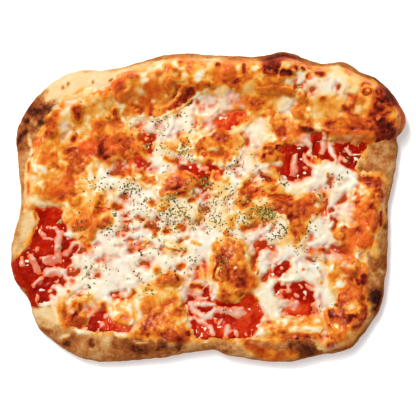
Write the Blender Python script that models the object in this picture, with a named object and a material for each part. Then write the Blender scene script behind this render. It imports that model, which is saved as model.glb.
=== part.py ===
"""Rectangular margherita pizza: puffed crust, tomato sauce and melted mozzarella.

Metres, +Z up. The pizza lies on its flat underside, centred on the origin.
Every layer is cut from one shared plan of triangles, so stacked layers stay an even gap apart.
"""
import math

import bmesh
import bpy
import numpy as np
from mathutils.geometry import delaunay_2d_cdt

MM = 0.001

# Crust outline, clockwise from the left side (mm)
RIM_POINTS = [
    (-115.4, 40), (-113.4, 52), (-100, 70), (-89, 77.5), (-74, 82.3), (-61, 82), (-39, 87.5),
    (-21, 92), (0, 91.3), (30, 89.8), (45.5, 93.3), (66, 86), (81, 87), (92, 80.5), (103.5, 74.8),
    (118, 54.5), (113, 38), (111.5, 20), (107.6, 0), (107.6, -24), (105.2, -50), (91, -77.5),
    (82, -86), (68, -88), (48, -92.5), (12, -89.3), (3.5, -85.3), (-26, -89.7), (-59, -92.3),
    (-79, -89.3), (-94.5, -77.5), (-102.5, -69.5), (-107, -57), (-118.6, -38), (-117, -14), (-113, -3), (-112.6, 14),
]

# Crust form (mm)
FLOOR_HEIGHT = 9.0
RIM_WIDTH = 21.0
ROUNDING = 13.0
WIDEST_SHARE = 0.4
SHOULDER_INSET = 3.0
BASE_INSET = 5.0
RIM_HEIGHTS = {
    0: 15, 20: 16, 38: 20, 60: 18, 90: 17, 118: 17, 142: 14.5, 165: 15, 182: 14,
    198: 11, 212: 10, 222: 13, 240: 15, 270: 16, 300: 16.5, 325: 16,
}

# Swells on the crust: path, half width, rise, how square the flanks are (mm)
SWELLS = {
    "top ridge": ([(-97, 57), (-60, 71), (-20, 79), (30, 79), (68, 73)], 17, 9.0, 2),
    "char bubble": ([(44, 85), (48, 84)], 13, 4.5, 2),
    "top right lobe": ([(84, 63), (104, 57)], 21, 8.5, 4),
    "left swell": ([(-99, 42), (-101, 12)], 16, 4.0, 2),
    "right swell": ([(97, 12), (99, -44)], 14, 3.5, 2),
    "bottom swell": ([(-66, -77), (-22, -76)], 14, 3.5, 2),
    "bottom right swell": ([(50, -79), (80, -72)], 14, 4.0, 2),
    "centre bubble": ([(15, -32), (14, -46)], 16, 4.5, 2),
    "middle fold": ([(-27, 8), (-8, 17)], 9, 3.0, 2),
}

# Sauce (mm)
SAUCE_POINTS = [
    (-104, 0), (-105, -16), (-113, -30), (-113, -42), (-106, -53), (-94, -58), (-83, -71),
    (-66, -77), (-30, -76), (4, -81), (28, -76), (44, -68), (78, -66), (94, -48), (98, -24),
    (102, -4), (96, 24), (95, 40), (76, 54), (50, 68), (6, 71), (-30, 60), (-66, 62), (-94, 42),
    (-105, 16),
]
SAUCE_EDGE = 0.4
SAUCE_DEPTH = 1.3

# Melted sheets: overlapping discs of x, y, radius, and how thick the middle is (mm)
SHEETS = {
    "browned_bubble_centre": ([(15, -32, 11.5), (14, -46, 11.5)], 2.2),
    "browned_cheese_left": (
        [(-91, 24, 18), (-82, 42, 17), (-66, 54, 15), (-101, 8, 9), (-114, 4, 5), (-82, 8, 11)],
        2.4,
    ),
    "browned_cheese_top": (
        [(-46, 71, 11), (-31, 70, 14), (-12, 78, 12), (8, 79, 11), (26, 79, 10)], 2.2
    ),
    "browned_cheese_top_right": (
        [(54, 58, 14), (74, 65, 14), (92, 60, 16), (106, 54, 9), (49, 48, 9)], 2.6
    ),
    "browned_cheese_top_middle": ([(27, 61, 12), (19, 50, 10), (9, 38, 12), (1, 32, 10)], 2.0),
    "browned_cheese_right": ([(91, -2, 13), (92, -16, 13), (98, 14, 10), (81, -6, 9)], 2.2),
    "browned_cheese_lower_right": (
        [(87, -58, 14), (91, -44, 11), (82, -33, 9), (79, -75, 11)], 2.4
    ),
    "browned_cheese_bottom_right": ([(50, -72, 10), (61, -71, 9), (37, -75, 7)], 2.2),
    "browned_cheese_bottom": (
        [(-28, -62, 15), (-38, -57, 11), (-20, -56, 9), (-24, -70, 9), (-50, -64, 10)], 2.4
    ),
    "browned_cheese_lower_left": ([(-78, -62, 11), (-68, -58, 10), (-86, -66, 7)], 2.2),
    "browned_cheese_middle": ([(56, -1, 11), (46, -3, 8), (65, 3, 9)], 2.0),
    "browned_cheese_upper_left": ([(-48, 36, 12), (-41, 42, 9), (-42, 26, 8)], 2.0),
    "white_cheese_top": (
        [(-25, 45, 11), (-23, 31, 14), (-14, 52, 9), (-4, 60, 9), (5, 64, 8)], 2.2
    ),
    "white_cheese_right": ([(78, 18, 13), (67, 18, 9), (86, 14, 9)], 2.4),
    "white_cheese_right_centre": (
        [(62, -20, 12), (70, -15, 9), (52, -24, 8), (62, -34, 10), (64, -43, 7)], 2.6
    ),
    "white_cheese_lower_right": ([(70, -52, 11), (66, -59, 6)], 2.4),
    "white_cheese_middle_right": ([(36, -8, 11), (45, -13, 8)], 2.0),
    "white_cheese_middle": ([(7, -2, 13), (11, 12, 11), (8, -14, 9)], 2.0),
    "white_cheese_centre": (
        [(-32, -24, 16), (-20, -8, 14), (-30, -38, 12), (-12, -28, 12), (-36, 0, 10)], 2.4
    ),
    "white_cheese_left": (
        [(-60, 8, 14), (-58, -12, 15), (-62, -34, 16), (-80, -46, 13), (-50, -40, 11)], 2.4
    ),
}

# Shreds: centre line of x, y, half width, and how thick the middle is (mm)
SHREDS = {
    "cheese_shred_left_long": ([(-89.6, -15.5, 2.8), (-90, -28, 3.0)], 2.4),
    "cheese_shred_left_curved": ([(-108, -30.5, 2.6), (-106, -36, 3.0), (-102, -38.5, 2.2)], 2.2),
    "cheese_shred_left_small": ([(-105, -47, 2.0), (-101.6, -43, 2.0)], 1.8),
    "cheese_lump_left": ([(-97, -38.5, 3.0), (-92, -37, 4.0)], 2.6),
    "cheese_loop_left": ([(-86, -5, 2.2), (-84, -12, 2.4), (-77, -15.5, 2.4), (-70, -14, 2)], 2.0),
    "cheese_fold_left": ([(-79, -3.5, 2.6), (-72, 1, 3.2), (-64, 8.5, 2.6)], 2.2),
    "browned_fold_middle": ([(-29, 8, 3.6), (-18, 13, 5.4), (-5, 19, 4.4)], 2.4),
    "browned_blister_middle": ([(13, -16, 3.2), (19, -12.5, 3.6)], 2.6),
    "cheese_arc_middle": ([(22, 6, 2.2), (26, 11.5, 2.6), (33, 13, 3), (36, 9, 2.4)], 2.2),
    "cheese_shred_upper_right": ([(48.5, 29.5, 2.6), (50.5, 23, 2.8)], 2.0),
    "cheese_curl_right": ([(58.5, 33, 2), (60.5, 27, 2.4), (66, 25.2, 2.4), (71, 29, 2)], 2.2),
    "white_cheese_upper_right": (
        [(20, 38, 4), (28, 31, 6.5), (38, 22, 5), (48, 13, 4.5)], 2.2
    ),
    "white_cheese_inner_right": ([(43.5, -42, 2.6), (51, -39, 3.4)], 2.0),
    "white_cheese_bottom_centre": (
        [(34, -27, 4), (32, -40, 5), (31, -52, 5.4), (42, -58, 4)], 2.4
    ),
    "cheese_shred_bottom_long": (
        [(-8.5, -59, 2.6), (-3, -63.5, 3.2), (6, -62, 2.4), (20, -64, 2.8)], 2.2
    ),
    "cheese_shred_bottom_thin": ([(-5, -69.5, 1.8), (0.5, -72, 2), (3, -77.5, 1.8)], 1.8),
    "cheese_shred_bottom_short": ([(12.4, -71, 2.2), (10.6, -76.5, 2.2)], 1.8),
    "browned_drip_corner": ([(-99.5, -71.5, 2.6), (-96.5, -73.5, 2.6)], 2.4),
}

CHEESE_EDGE = 0.7
CHEESE_RISE_WIDTH = 6.0
SIDE_GAP = 1.9
EDGE_MARGIN = 4.5
OVERHANGING = ("browned_cheese_left",)
OUTLINE_CHECK_STEP = 5.0
LAYER_GAP = 0.4

# Mesh spacing (mm)
RIM_STEP = 6.6
SAUCE_STEP = 9.0
SHEET_STEP = 6.5
SHRED_STEP = 5.4
FILL_STEP = 9.4

MATERIALS = {
    "crust": ((0.70, 0.42, 0.17), 0.75),
    "sauce": ((0.55, 0.03, 0.01), 0.3),
    "white": ((0.86, 0.79, 0.60), 0.4),
    "browned": ((0.82, 0.38, 0.08), 0.4),
}


def clear_scene():
    for obj in list(bpy.data.objects):
        bpy.data.objects.remove(obj, do_unlink=True)


def smooth_curve(points, closed, samples=24):
    """Catmull-Rom curve through points of any dimension, sampled densely."""
    pts = np.array(points, float)
    if closed:
        padded = np.vstack([pts[-1], pts, pts[:2]])
    else:
        padded = np.vstack([2 * pts[0] - pts[1], pts, 2 * pts[-1] - pts[-2]])
    t = np.linspace(0, 1, samples, endpoint=False)[:, None]
    spans = []
    for a, b, c, d in zip(padded, padded[1:], padded[2:], padded[3:]):
        spans.append(
            0.5 * (2 * b + (c - a) * t + (2 * a - 5 * b + 4 * c - d) * t**2
                   + (3 * b - a - 3 * c + d) * t**3)
        )
    curve = np.vstack(spans)
    return curve if closed else np.vstack([curve, pts[-1]])


def even_loop(loop, step):
    """Closed loop resampled at an even spacing close to step, counter-clockwise."""
    ring = np.vstack([loop, loop[:1]])
    lengths = np.hypot(*np.diff(ring, axis=0).T)
    along = np.concatenate([[0], np.cumsum(lengths)])
    count = max(8, round(along[-1] / step))
    at = np.linspace(0, along[-1], count, endpoint=False)
    even = np.column_stack([np.interp(at, along, ring[:, k]) for k in (0, 1)])
    x, y = even.T
    area = np.sum(x * np.roll(y, -1) - np.roll(x, -1) * y)
    return even if area > 0 else even[::-1]


def inside(points, loop):
    """True for each point that lies inside the closed loop."""
    x, y = points[:, 0, None], points[:, 1, None]
    ax, ay = loop.T
    bx, by = np.roll(loop, -1, axis=0).T
    spans = (ay > y) != (by > y)
    rise = np.where(by == ay, 1e-12, by - ay)
    cross = ax + (y - ay) * (bx - ax) / rise
    return (np.sum(spans & (x < cross), axis=1) % 2) == 1


def distance_to(points, loop):
    """Distance from each point to the closed loop's segments."""
    a = loop[None]
    b = np.roll(loop, -1, axis=0)[None]
    p = points[:, None]
    t = np.clip(np.sum((p - a) * (b - a), axis=2) / np.sum((b - a) ** 2, axis=2), 0, 1)
    return np.min(np.linalg.norm(p - a - t[..., None] * (b - a), axis=2), axis=1)


def signed_depth(points, loop):
    """Distance in from the closed loop, negative outside it."""
    d = distance_to(points, loop)
    return np.where(inside(points, loop), d, -d)


def path_distance(points, path):
    """Distance from each point to an open path."""
    best = np.full(len(points), np.inf)
    for a, b in zip(np.array(path, float), np.array(path[1:], float)):
        t = np.clip((points - a) @ (b - a) / max((b - a) @ (b - a), 1e-9), 0, 1)
        best = np.minimum(best, np.linalg.norm(points - a - t[:, None] * (b - a), axis=1))
    return best


def ease(t):
    t = np.clip(t, 0, 1)
    return t * t * (3 - 2 * t)


def rounding(depth):
    """Share of the full height at a depth in from the crust's widest line."""
    u = 1 - np.clip(depth / ROUNDING, 0, 1)
    return WIDEST_SHARE + (1 - WIDEST_SHARE) * np.sqrt(1 - u * u)


def full_height(points, depth):
    """Crust height before its edge is rounded over."""
    angle = np.degrees(np.arctan2(points[:, 1] * 1.25, points[:, 0])) % 360
    rim = np.interp(angle, list(RIM_HEIGHTS), list(RIM_HEIGHTS.values()), period=360)
    height = FLOOR_HEIGHT + (rim - FLOOR_HEIGHT) * ease(1 - depth / RIM_WIDTH)
    for path, half_width, rise, square in SWELLS.values():
        share = np.clip(path_distance(points, path) / half_width, 0, 1)
        height = height + rise * (1 - share**square) ** 2
    return height


class Crust:
    """The crust's outline, and its surface as a height over the plan."""

    def __init__(self):
        self.edge = even_loop(smooth_curve(RIM_POINTS, True), 0.6)

    def height(self, points):
        depth = signed_depth(points, self.edge)
        reach = np.maximum(depth, SHOULDER_INSET)
        return full_height(points, np.maximum(depth, 0)) * rounding(reach)

    def inset(self, loop, amount):
        ahead = np.roll(loop, -1, axis=0) - np.roll(loop, 1, axis=0)
        left = np.column_stack([-ahead[:, 1], ahead[:, 0]])
        left /= np.linalg.norm(left, axis=1)[:, None]
        return loop + left * amount

    def outward(self, points):
        """Unit direction from each shoulder point to the nearest point of the edge."""
        gaps = np.linalg.norm(points[:, None] - self.edge[None], axis=2)
        way = self.edge[np.argmin(gaps, axis=1)] - points
        return way / np.linalg.norm(way, axis=1)[:, None]


def disc_field(points, discs):
    """Positive inside a smooth union of discs, negative outside (mm)."""
    soft = 2.5
    discs = np.array(discs, float)
    gaps = discs[:, 2] - np.linalg.norm(points[:, None] - discs[None, :, :2], axis=2)
    top = gaps.max(axis=1)
    return top + soft * np.log(np.sum(np.exp((gaps - top[:, None]) / soft), axis=1)) - soft * 0.3


def strip_field(points, spine):
    """Positive inside a strip of changing width, negative outside (mm)."""
    line = smooth_curve(spine, False, 10)
    gaps = line[:, 2] - np.linalg.norm(points[:, None] - line[None, :, :2], axis=2)
    return gaps.max(axis=1)


def strip_outline(spine):
    """Closed outline of a strip with rounded ends."""
    line = smooth_curve(spine, False, 10)
    middle, width = line[:, :2], line[:, 2:]
    ahead = np.gradient(middle, axis=0)
    ahead /= np.linalg.norm(ahead, axis=1)[:, None]
    left = np.column_stack([-ahead[:, 1], ahead[:, 0]])
    turn = np.linspace(0, math.pi, 9)[1:-1, None]
    end = middle[-1] + width[-1] * (np.cos(turn) * left[-1] + np.sin(turn) * ahead[-1])
    start = middle[0] - width[0] * (np.cos(turn) * left[0] + np.sin(turn) * ahead[0])
    return np.vstack([middle + left * width, end, (middle - left * width)[::-1], start])


def sheet_outline(discs, blockers):
    """Outline of a melted sheet that stops short of the pieces that lie before it."""
    centre = np.average(np.array(discs)[:, :2], axis=0, weights=np.array(discs)[:, 2] ** 2)
    reach = np.arange(1.0, 70.0, 0.5)
    outline = []
    for turn in np.linspace(0, 2 * math.pi, 120, endpoint=False):
        ray = centre + reach[:, None] * np.array([math.cos(turn), math.sin(turn)])
        field = disc_field(ray, discs)
        for blocker in blockers:
            field = np.minimum(field, -SIDE_GAP - blocker(ray))
        out = np.flatnonzero(field <= 0)
        outline.append(ray[out[0]] if len(out) else ray[-1])
    return relax(np.array(outline), 2)


def relax(loop, passes):
    for _ in range(passes):
        loop = (np.roll(loop, 1, axis=0) + 2 * loop + np.roll(loop, -1, axis=0)) / 4
    return loop


def cheese_outlines(crust):
    """Name to outline for every piece of cheese, none of them overlapping."""
    outlines = {}
    blockers = []
    for name, (spine, _) in SHREDS.items():
        outlines[name] = even_loop(strip_outline(spine), SHRED_STEP)
        blockers.append(lambda p, s=spine: strip_field(p, s))
    coarse_edge = even_loop(crust.edge, OUTLINE_CHECK_STEP)
    for name, (discs, _) in SHEETS.items():
        margin = -ROUNDING if name in OVERHANGING else EDGE_MARGIN - SIDE_GAP
        border_field = [lambda p, m=margin: m - signed_depth(p, coarse_edge)]
        outlines[name] = even_loop(sheet_outline(discs, blockers + border_field), SHEET_STEP)
        blockers.append(lambda p, s=discs: disc_field(p, s))
    return outlines


def fill_points(loops):
    """Hexagonal grid of points that keeps clear of every loop."""
    rows = np.arange(-96, 96, FILL_STEP * math.sqrt(0.75))
    grid = [
        (x + (k % 2) * FILL_STEP / 2, y)
        for k, y in enumerate(rows)
        for x in np.arange(-120, 120, FILL_STEP)
    ]
    grid = np.array(grid)
    grid = grid[inside(grid, loops[0])]
    for loop in loops:
        grid = grid[distance_to(grid, loop) > 0.42 * FILL_STEP]
    return grid


def spine_points(outlines):
    """Points down the middle of each shred, so that it can rise there."""
    rows = []
    for name, (spine, _) in SHREDS.items():
        line = smooth_curve(spine, False, 10)[:, :2]
        length = np.sum(np.hypot(*np.diff(line, axis=0).T))
        count = max(2, round(length / SHRED_STEP) + 1)
        rows.append(line[np.linspace(0, len(line) - 1, count).astype(int)])
    return np.vstack(rows)


def triangulate(loops, loose):
    """One plan of triangles that keeps every loop's edges."""
    points = []
    edges = []
    for loop in loops:
        first = len(points)
        points += [tuple(p) for p in loop]
        edges += [(first + k, first + (k + 1) % len(loop)) for k in range(len(loop))]
    points += [tuple(p) for p in loose]
    plan = delaunay_2d_cdt([tuple(map(float, p)) for p in points], edges, [], 1, 1e-4, False)
    corners = np.array([tuple(v) for v in plan[0]])
    triangles = np.array([list(f) for f in plan[2]])
    a, b, c = (corners[triangles[:, k]] for k in range(3))
    turn = (b - a)[:, 0] * (c - a)[:, 1] - (b - a)[:, 1] * (c - a)[:, 0]
    triangles[turn < 0] = triangles[turn < 0][:, ::-1]
    return corners, triangles


def border(triangles):
    """Directed edges with a triangle on their left only."""
    edges = {(t[k], t[(k + 1) % 3]) for t in triangles.tolist() for k in range(3)}
    return [(a, b) for a, b in edges if (b, a) not in edges]


def ordered_border(triangles):
    following = dict(border(triangles))
    start = min(following)
    loop = [start]
    while following[loop[-1]] != start:
        loop.append(following[loop[-1]])
    return loop


def add_object(name, bm, material_name):
    mesh = bpy.data.meshes.new(name)
    bm.to_mesh(mesh)
    bm.free()
    colour, roughness = MATERIALS[material_name]
    material = bpy.data.materials.new(name)
    material.use_nodes = True
    shader = material.node_tree.nodes["Principled BSDF"]
    shader.inputs["Base Color"].default_value = (*colour, 1)
    shader.inputs["Roughness"].default_value = roughness
    shader.inputs["Metallic"].default_value = 0
    mesh.materials.append(material)
    obj = bpy.data.objects.new(name, mesh)
    bpy.context.scene.collection.objects.link(obj)
    return obj


def add_faces(bm, vertices, faces, smooth):
    for face in faces:
        bm.faces.new([vertices[k] for k in face]).smooth = smooth


def crust_object(crust, corners, triangles, surface):
    """Closed crust: domed top, rounded side and flat underside."""
    bm = bmesh.new()
    loop = ordered_border(triangles)
    used = sorted(set(triangles.ravel().tolist()))
    top = {k: bm.verts.new((*(corners[k] * MM), surface[k] * MM)) for k in used}
    add_faces(bm, top, triangles.tolist(), True)
    shoulder = corners[loop]
    way = crust.outward(shoulder)
    tall = full_height(shoulder + way * SHOULDER_INSET, np.zeros(len(loop)))
    rings = [
        (1.0, tall * rounding(np.full(len(loop), 1.0))),
        (0.0, tall * WIDEST_SHARE),
        (1.6, tall * 0.14),
        (BASE_INSET, tall * 0),
    ]
    above = [top[k] for k in loop]
    for inset, heights in rings:
        spots = shoulder + way * (SHOULDER_INSET - inset)
        ring = [bm.verts.new((*(p * MM), z * MM)) for p, z in zip(spots, heights)]
        for k in range(len(ring)):
            j = (k + 1) % len(ring)
            bm.faces.new((ring[k], ring[j], above[j], above[k])).smooth = True
        above = ring
    bm.faces.new(above[::-1])
    return add_object("crust", bm, "crust")


def sheet_object(name, corners, triangles, bottom, thickness, material_name):
    """Closed sheet that lies on the bottom heights, with a domed top."""
    bm = bmesh.new()
    used = sorted(set(triangles.ravel().tolist()))
    low = {k: bm.verts.new((*(corners[k] * MM), bottom[k] * MM)) for k in used}
    high = {k: bm.verts.new((*(corners[k] * MM), (bottom[k] + thickness[k]) * MM)) for k in used}
    add_faces(bm, high, triangles.tolist(), True)
    add_faces(bm, low, triangles[:, ::-1].tolist(), True)
    for a, b in border(triangles):
        bm.faces.new((low[a], low[b], high[b], high[a]))
    return add_object(name, bm, material_name)


def domed(corners, outline, edge, middle, width):
    """Thickness that grows from the outline inward."""
    near = distance_to(corners, outline)
    return edge + (middle - edge) * ease(near / width)


def build_pizza():
    clear_scene()
    crust = Crust()
    shoulder = crust.inset(even_loop(crust.edge, RIM_STEP), SHOULDER_INSET)
    sauce_loop = even_loop(smooth_curve(SAUCE_POINTS, True), SAUCE_STEP)
    outlines = cheese_outlines(crust)
    loops = [shoulder, sauce_loop, *outlines.values()]
    loose = np.vstack([fill_points(loops), spine_points(outlines)])
    corners, triangles = triangulate(loops, loose)
    centres = corners[triangles].mean(axis=1)
    surface = crust.height(corners)

    on_crust = inside(centres, shoulder)
    crust_object(crust, corners, triangles[on_crust], surface)

    in_sauce = on_crust & inside(centres, sauce_loop)
    sauce_depth = domed(corners, sauce_loop, SAUCE_EDGE, SAUCE_DEPTH, CHEESE_RISE_WIDTH)
    sauce_triangles = triangles[in_sauce]
    sheet_object(
        "tomato_sauce", corners, sauce_triangles, surface + LAYER_GAP, sauce_depth, "sauce"
    )

    support = surface.copy()
    wet = np.unique(sauce_triangles)
    support[wet] += LAYER_GAP + sauce_depth[wet]
    for name, outline in outlines.items():
        shred = name in SHREDS
        middle = (SHREDS if shred else SHEETS)[name][1]
        width = 2.0 if shred else CHEESE_RISE_WIDTH
        depth = domed(corners, outline, CHEESE_EDGE, middle, width)
        chosen = triangles[inside(centres, outline)]
        kind = "browned" if name.startswith("browned") else "white"
        sheet_object(name, corners, chosen, support + LAYER_GAP, depth, kind)


build_pizza()
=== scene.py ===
import math
import random

import bmesh
import bpy
import numpy as np
from mathutils import Matrix, Vector
from mathutils.bvhtree import BVHTree


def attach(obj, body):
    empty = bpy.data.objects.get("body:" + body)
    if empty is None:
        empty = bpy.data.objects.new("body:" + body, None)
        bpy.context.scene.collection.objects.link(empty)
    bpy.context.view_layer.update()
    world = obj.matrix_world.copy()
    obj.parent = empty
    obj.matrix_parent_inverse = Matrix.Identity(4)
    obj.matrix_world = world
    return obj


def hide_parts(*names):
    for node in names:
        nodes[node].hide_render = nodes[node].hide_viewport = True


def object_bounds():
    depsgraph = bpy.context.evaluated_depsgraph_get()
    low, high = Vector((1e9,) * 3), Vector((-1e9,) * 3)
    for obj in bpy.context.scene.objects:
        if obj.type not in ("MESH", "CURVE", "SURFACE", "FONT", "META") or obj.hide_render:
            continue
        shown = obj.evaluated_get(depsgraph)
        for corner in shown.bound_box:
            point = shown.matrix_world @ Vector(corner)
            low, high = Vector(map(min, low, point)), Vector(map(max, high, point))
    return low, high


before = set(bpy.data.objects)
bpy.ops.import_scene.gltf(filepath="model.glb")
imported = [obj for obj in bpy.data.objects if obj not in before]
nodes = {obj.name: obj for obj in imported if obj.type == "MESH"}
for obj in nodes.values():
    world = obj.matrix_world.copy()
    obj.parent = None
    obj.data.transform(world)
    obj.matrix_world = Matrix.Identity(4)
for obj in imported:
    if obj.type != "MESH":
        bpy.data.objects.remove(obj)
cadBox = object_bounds()
mm = 0.001
bpy.context.scene.view_settings.view_transform = "Standard"
bpy.context.scene.view_settings.look = "None"

# The plan is a fine square net over the pizza, in millimetres. Every layer is worked out on it.
plan = {"step": 0.62, "halfLength": 122.5, "halfWidth": 97.3}
planXs = np.arange(-plan["halfLength"], plan["halfLength"] + 0.01, plan["step"])
planYs = np.arange(-plan["halfWidth"], plan["halfWidth"] + 0.01, plan["step"])
planX, planY = np.meshgrid(planXs, planYs)


def ease(t):
    t = np.clip(t, 0, 1)
    return t * t * (3 - 2 * t)


def ripple(size, seed, octaves=3, fall=0.5):  # smooth noise over the plan, about -1 to 1
    total = np.zeros(planX.shape)
    strength = 1.0
    whole = 0.0
    for octave in range(octaves):
        cell = size / 2 ** octave
        rng = np.random.default_rng(seed * 17 + octave)
        u = (planX + plan["halfLength"]) / cell + 1
        v = (planY + plan["halfWidth"]) / cell + 1
        lattice = rng.uniform(-1, 1, (int(v.max()) + 3, int(u.max()) + 3))
        iu, iv = u.astype(int), v.astype(int)
        fu, fv = ease(u - iu), ease(v - iv)
        low = lattice[iv, iu] * (1 - fu) + lattice[iv, iu + 1] * fu
        high = lattice[iv + 1, iu] * (1 - fu) + lattice[iv + 1, iu + 1] * fu
        total += strength * (low * (1 - fv) + high * fv)
        whole += strength
        strength *= fall
    return total / whole * 1.5


def blur(values, width):  # soft average over about width millimetres
    reach = int(3 * width / plan["step"]) + 1
    steps = np.arange(-reach, reach + 1) * plan["step"]
    weights = np.exp(-0.5 * (steps / width) ** 2)
    weights /= weights.sum()
    padded = np.pad(values, reach, mode="edge")
    rows = sum(w * padded[k:k + values.shape[0], :] for k, w in enumerate(weights))
    return sum(w * rows[:, k:k + values.shape[1]] for k, w in enumerate(weights))


def sample(values, x, y):  # value of a plan layer at any place
    u = np.clip((np.asarray(x) + plan["halfLength"]) / plan["step"], 0, planX.shape[1] - 1.001)
    v = np.clip((np.asarray(y) + plan["halfWidth"]) / plan["step"], 0, planX.shape[0] - 1.001)
    iu, iv = u.astype(int), v.astype(int)
    fu, fv = u - iu, v - iv
    low = values[iv, iu] * (1 - fu) + values[iv, iu + 1] * fu
    high = values[iv + 1, iu] * (1 - fu) + values[iv + 1, iu + 1] * fu
    return low * (1 - fv) + high * fv


warpX = 1.1 * ripple(7, 1) + 0.45 * ripple(2.2, 2, 2)
warpY = 1.1 * ripple(7, 3) + 0.45 * ripple(2.2, 4, 2)


def smoothSpine(spine):  # x, y, radius again and again, drawn out to a smooth line
    points = np.reshape(spine, (-1, 3)).astype(float)
    if len(points) < 3:
        return points
    padded = np.vstack([2 * points[0] - points[1], points, 2 * points[-1] - points[-2]])
    t = np.linspace(0, 1, 6, endpoint=False)[:, None]
    spans = [
        0.5 * (2 * b + (c - a) * t + (2 * a - 5 * b + 4 * c - d) * t**2 + (3 * b - a - 3 * c + d) * t**3)
        for a, b, c, d in zip(padded, padded[1:], padded[2:], padded[3:])
    ]
    return np.vstack([*spans, points[-1:]])


def window(low, high, reach):  # the rows and columns of the plan near a shape
    cols = slice(*np.searchsorted(planXs, [low[0] - reach, high[0] + reach]))
    rows = slice(*np.searchsorted(planYs, [low[1] - reach, high[1] + reach]))
    return rows, cols


def warped(spot, warp):  # the places of the plan, pulled about so that edges aren't ruled
    return planX[spot] + warp * warpX[spot], planY[spot] + warp * warpY[spot]


def nearestOn(a, along, px, py):  # share of a straight run at its nearest place, and the gap to it
    share = np.clip(((px - a[0]) * along[0] + (py - a[1]) * along[1]) / max(along @ along, 1e-6), 0, 1)
    return share, np.hypot(px - a[0] - share * along[0], py - a[1] - share * along[1])


def stripDepth(spine, reach=7.0, warp=1.0):  # millimetres inside a strip of x, y, radius
    line = smoothSpine(spine)
    widest = line[:, 2].max()
    spot = window(line[:, :2].min(axis=0) - widest, line[:, :2].max(axis=0) + widest, reach)
    px, py = warped(spot, warp)
    if len(line) == 1:
        return spot, line[0, 2] - np.hypot(px - line[0, 0], py - line[0, 1])
    best = np.full(px.shape, -1e3)
    for a, b in zip(line, line[1:]):
        share, gap = nearestOn(a, b[:2] - a[:2], px, py)
        best = np.maximum(best, a[2] + share * (b[2] - a[2]) - gap)
    return spot, best


def fieldDepth(corners, reach=7.0, warp=1.0):  # millimetres inside a closed outline
    corners = np.array(corners, float)
    spot = window(corners.min(axis=0), corners.max(axis=0), reach)
    px, py = warped(spot, warp)
    near = np.full(px.shape, 1e3)
    within = np.zeros(px.shape, bool)
    for a, b in zip(corners, np.roll(corners, -1, axis=0)):
        along = b - a
        near = np.minimum(near, nearestOn(a, along, px, py)[1])
        if a[1] != b[1]:
            crosses = (a[1] > py) != (b[1] > py)
            within ^= crosses & (px < a[0] + (py - a[1]) * along[0] / along[1])
    return spot, np.where(within, near, -near)


def unite(strips=(), fields=(), reach=7.0, warp=1.0):  # depth inside any of the strips and fields
    depth = np.full(planX.shape, -reach)
    for spine in strips:
        spot, inner = stripDepth(spine, reach, warp)
        depth[spot] = np.maximum(depth[spot], inner)
    for corners in fields:
        spot, inner = fieldDepth(corners, reach, warp)
        depth[spot] = np.maximum(depth[spot], inner)
    return depth


def shade(base, zones, soft=2.5, warp=1.0):  # lays zones of one level each over a base layer
    layer = base.copy()
    for level, *spine in zones:
        spot, inner = stripDepth(spine, soft + 1, warp)
        share = ease(inner / (2 * soft) + 0.5)
        layer[spot] += (level - layer[spot]) * share
    return layer


# The crust is the CAD crust, smoothed here and given its baked surface further down.
crustLook = {
    "voxel": 1.1, "smoothing": 14, "swell": 0.45, "wrinkle": 0.2, "sideWobble": 0.5, "push": 0.8,
    "footTone": 0.08, "stainFoot": 3.4, "stainRag": 2.4,
}


def newObject(name, content):
    made = bpy.data.objects.new(name, content)
    bpy.context.scene.collection.objects.link(made)
    return made


def fromBmesh(bm, name):
    mesh = bpy.data.meshes.new(name)
    bm.to_mesh(mesh)
    bm.free()
    return newObject(name, mesh)


def addModifier(obj, kind, **values):
    modifier = obj.modifiers.new(kind.lower(), kind)
    for key, value in values.items():
        setattr(modifier, key, value)


def evaluatedCopy(obj, name):  # the mesh with its modifiers applied, in place of the rough copy
    depsgraph = bpy.context.evaluated_depsgraph_get()
    mesh = bpy.data.meshes.new_from_object(obj.evaluated_get(depsgraph), depsgraph=depsgraph)
    mesh.name = name
    source = obj.data
    piece = newObject(name, mesh)
    bpy.data.objects.remove(obj)
    bpy.data.meshes.remove(source)
    return piece


def smoothCrust():
    bm = bmesh.new()
    bm.from_mesh(nodes["crust"].data)
    bmesh.ops.remove_doubles(bm, verts=bm.verts, dist=0.00002)
    copy = fromBmesh(bm, "crustCopy")
    addModifier(copy, "SUBSURF", levels=1, render_levels=1)
    addModifier(copy, "REMESH", mode="VOXEL", voxel_size=crustLook["voxel"] * mm)
    addModifier(copy, "SMOOTH", factor=0.5, iterations=crustLook["smoothing"])
    return evaluatedCopy(copy, "bakedCrust")


def readVectors(mesh, kind):
    values = np.empty(len(mesh.vertices) * 3)
    mesh.vertices.foreach_get(kind, values)
    return values.reshape(-1, 3)


def readPoints(mesh):
    return readVectors(mesh, "co") / mm


def writePoints(mesh, points):
    mesh.vertices.foreach_set("co", (points * mm).ravel())
    mesh.update()


def writeLayer(mesh, name, values):
    layer = mesh.attributes.new(name, "FLOAT", "POINT")
    layer.data.foreach_set("value", np.asarray(values, np.float32))


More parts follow.
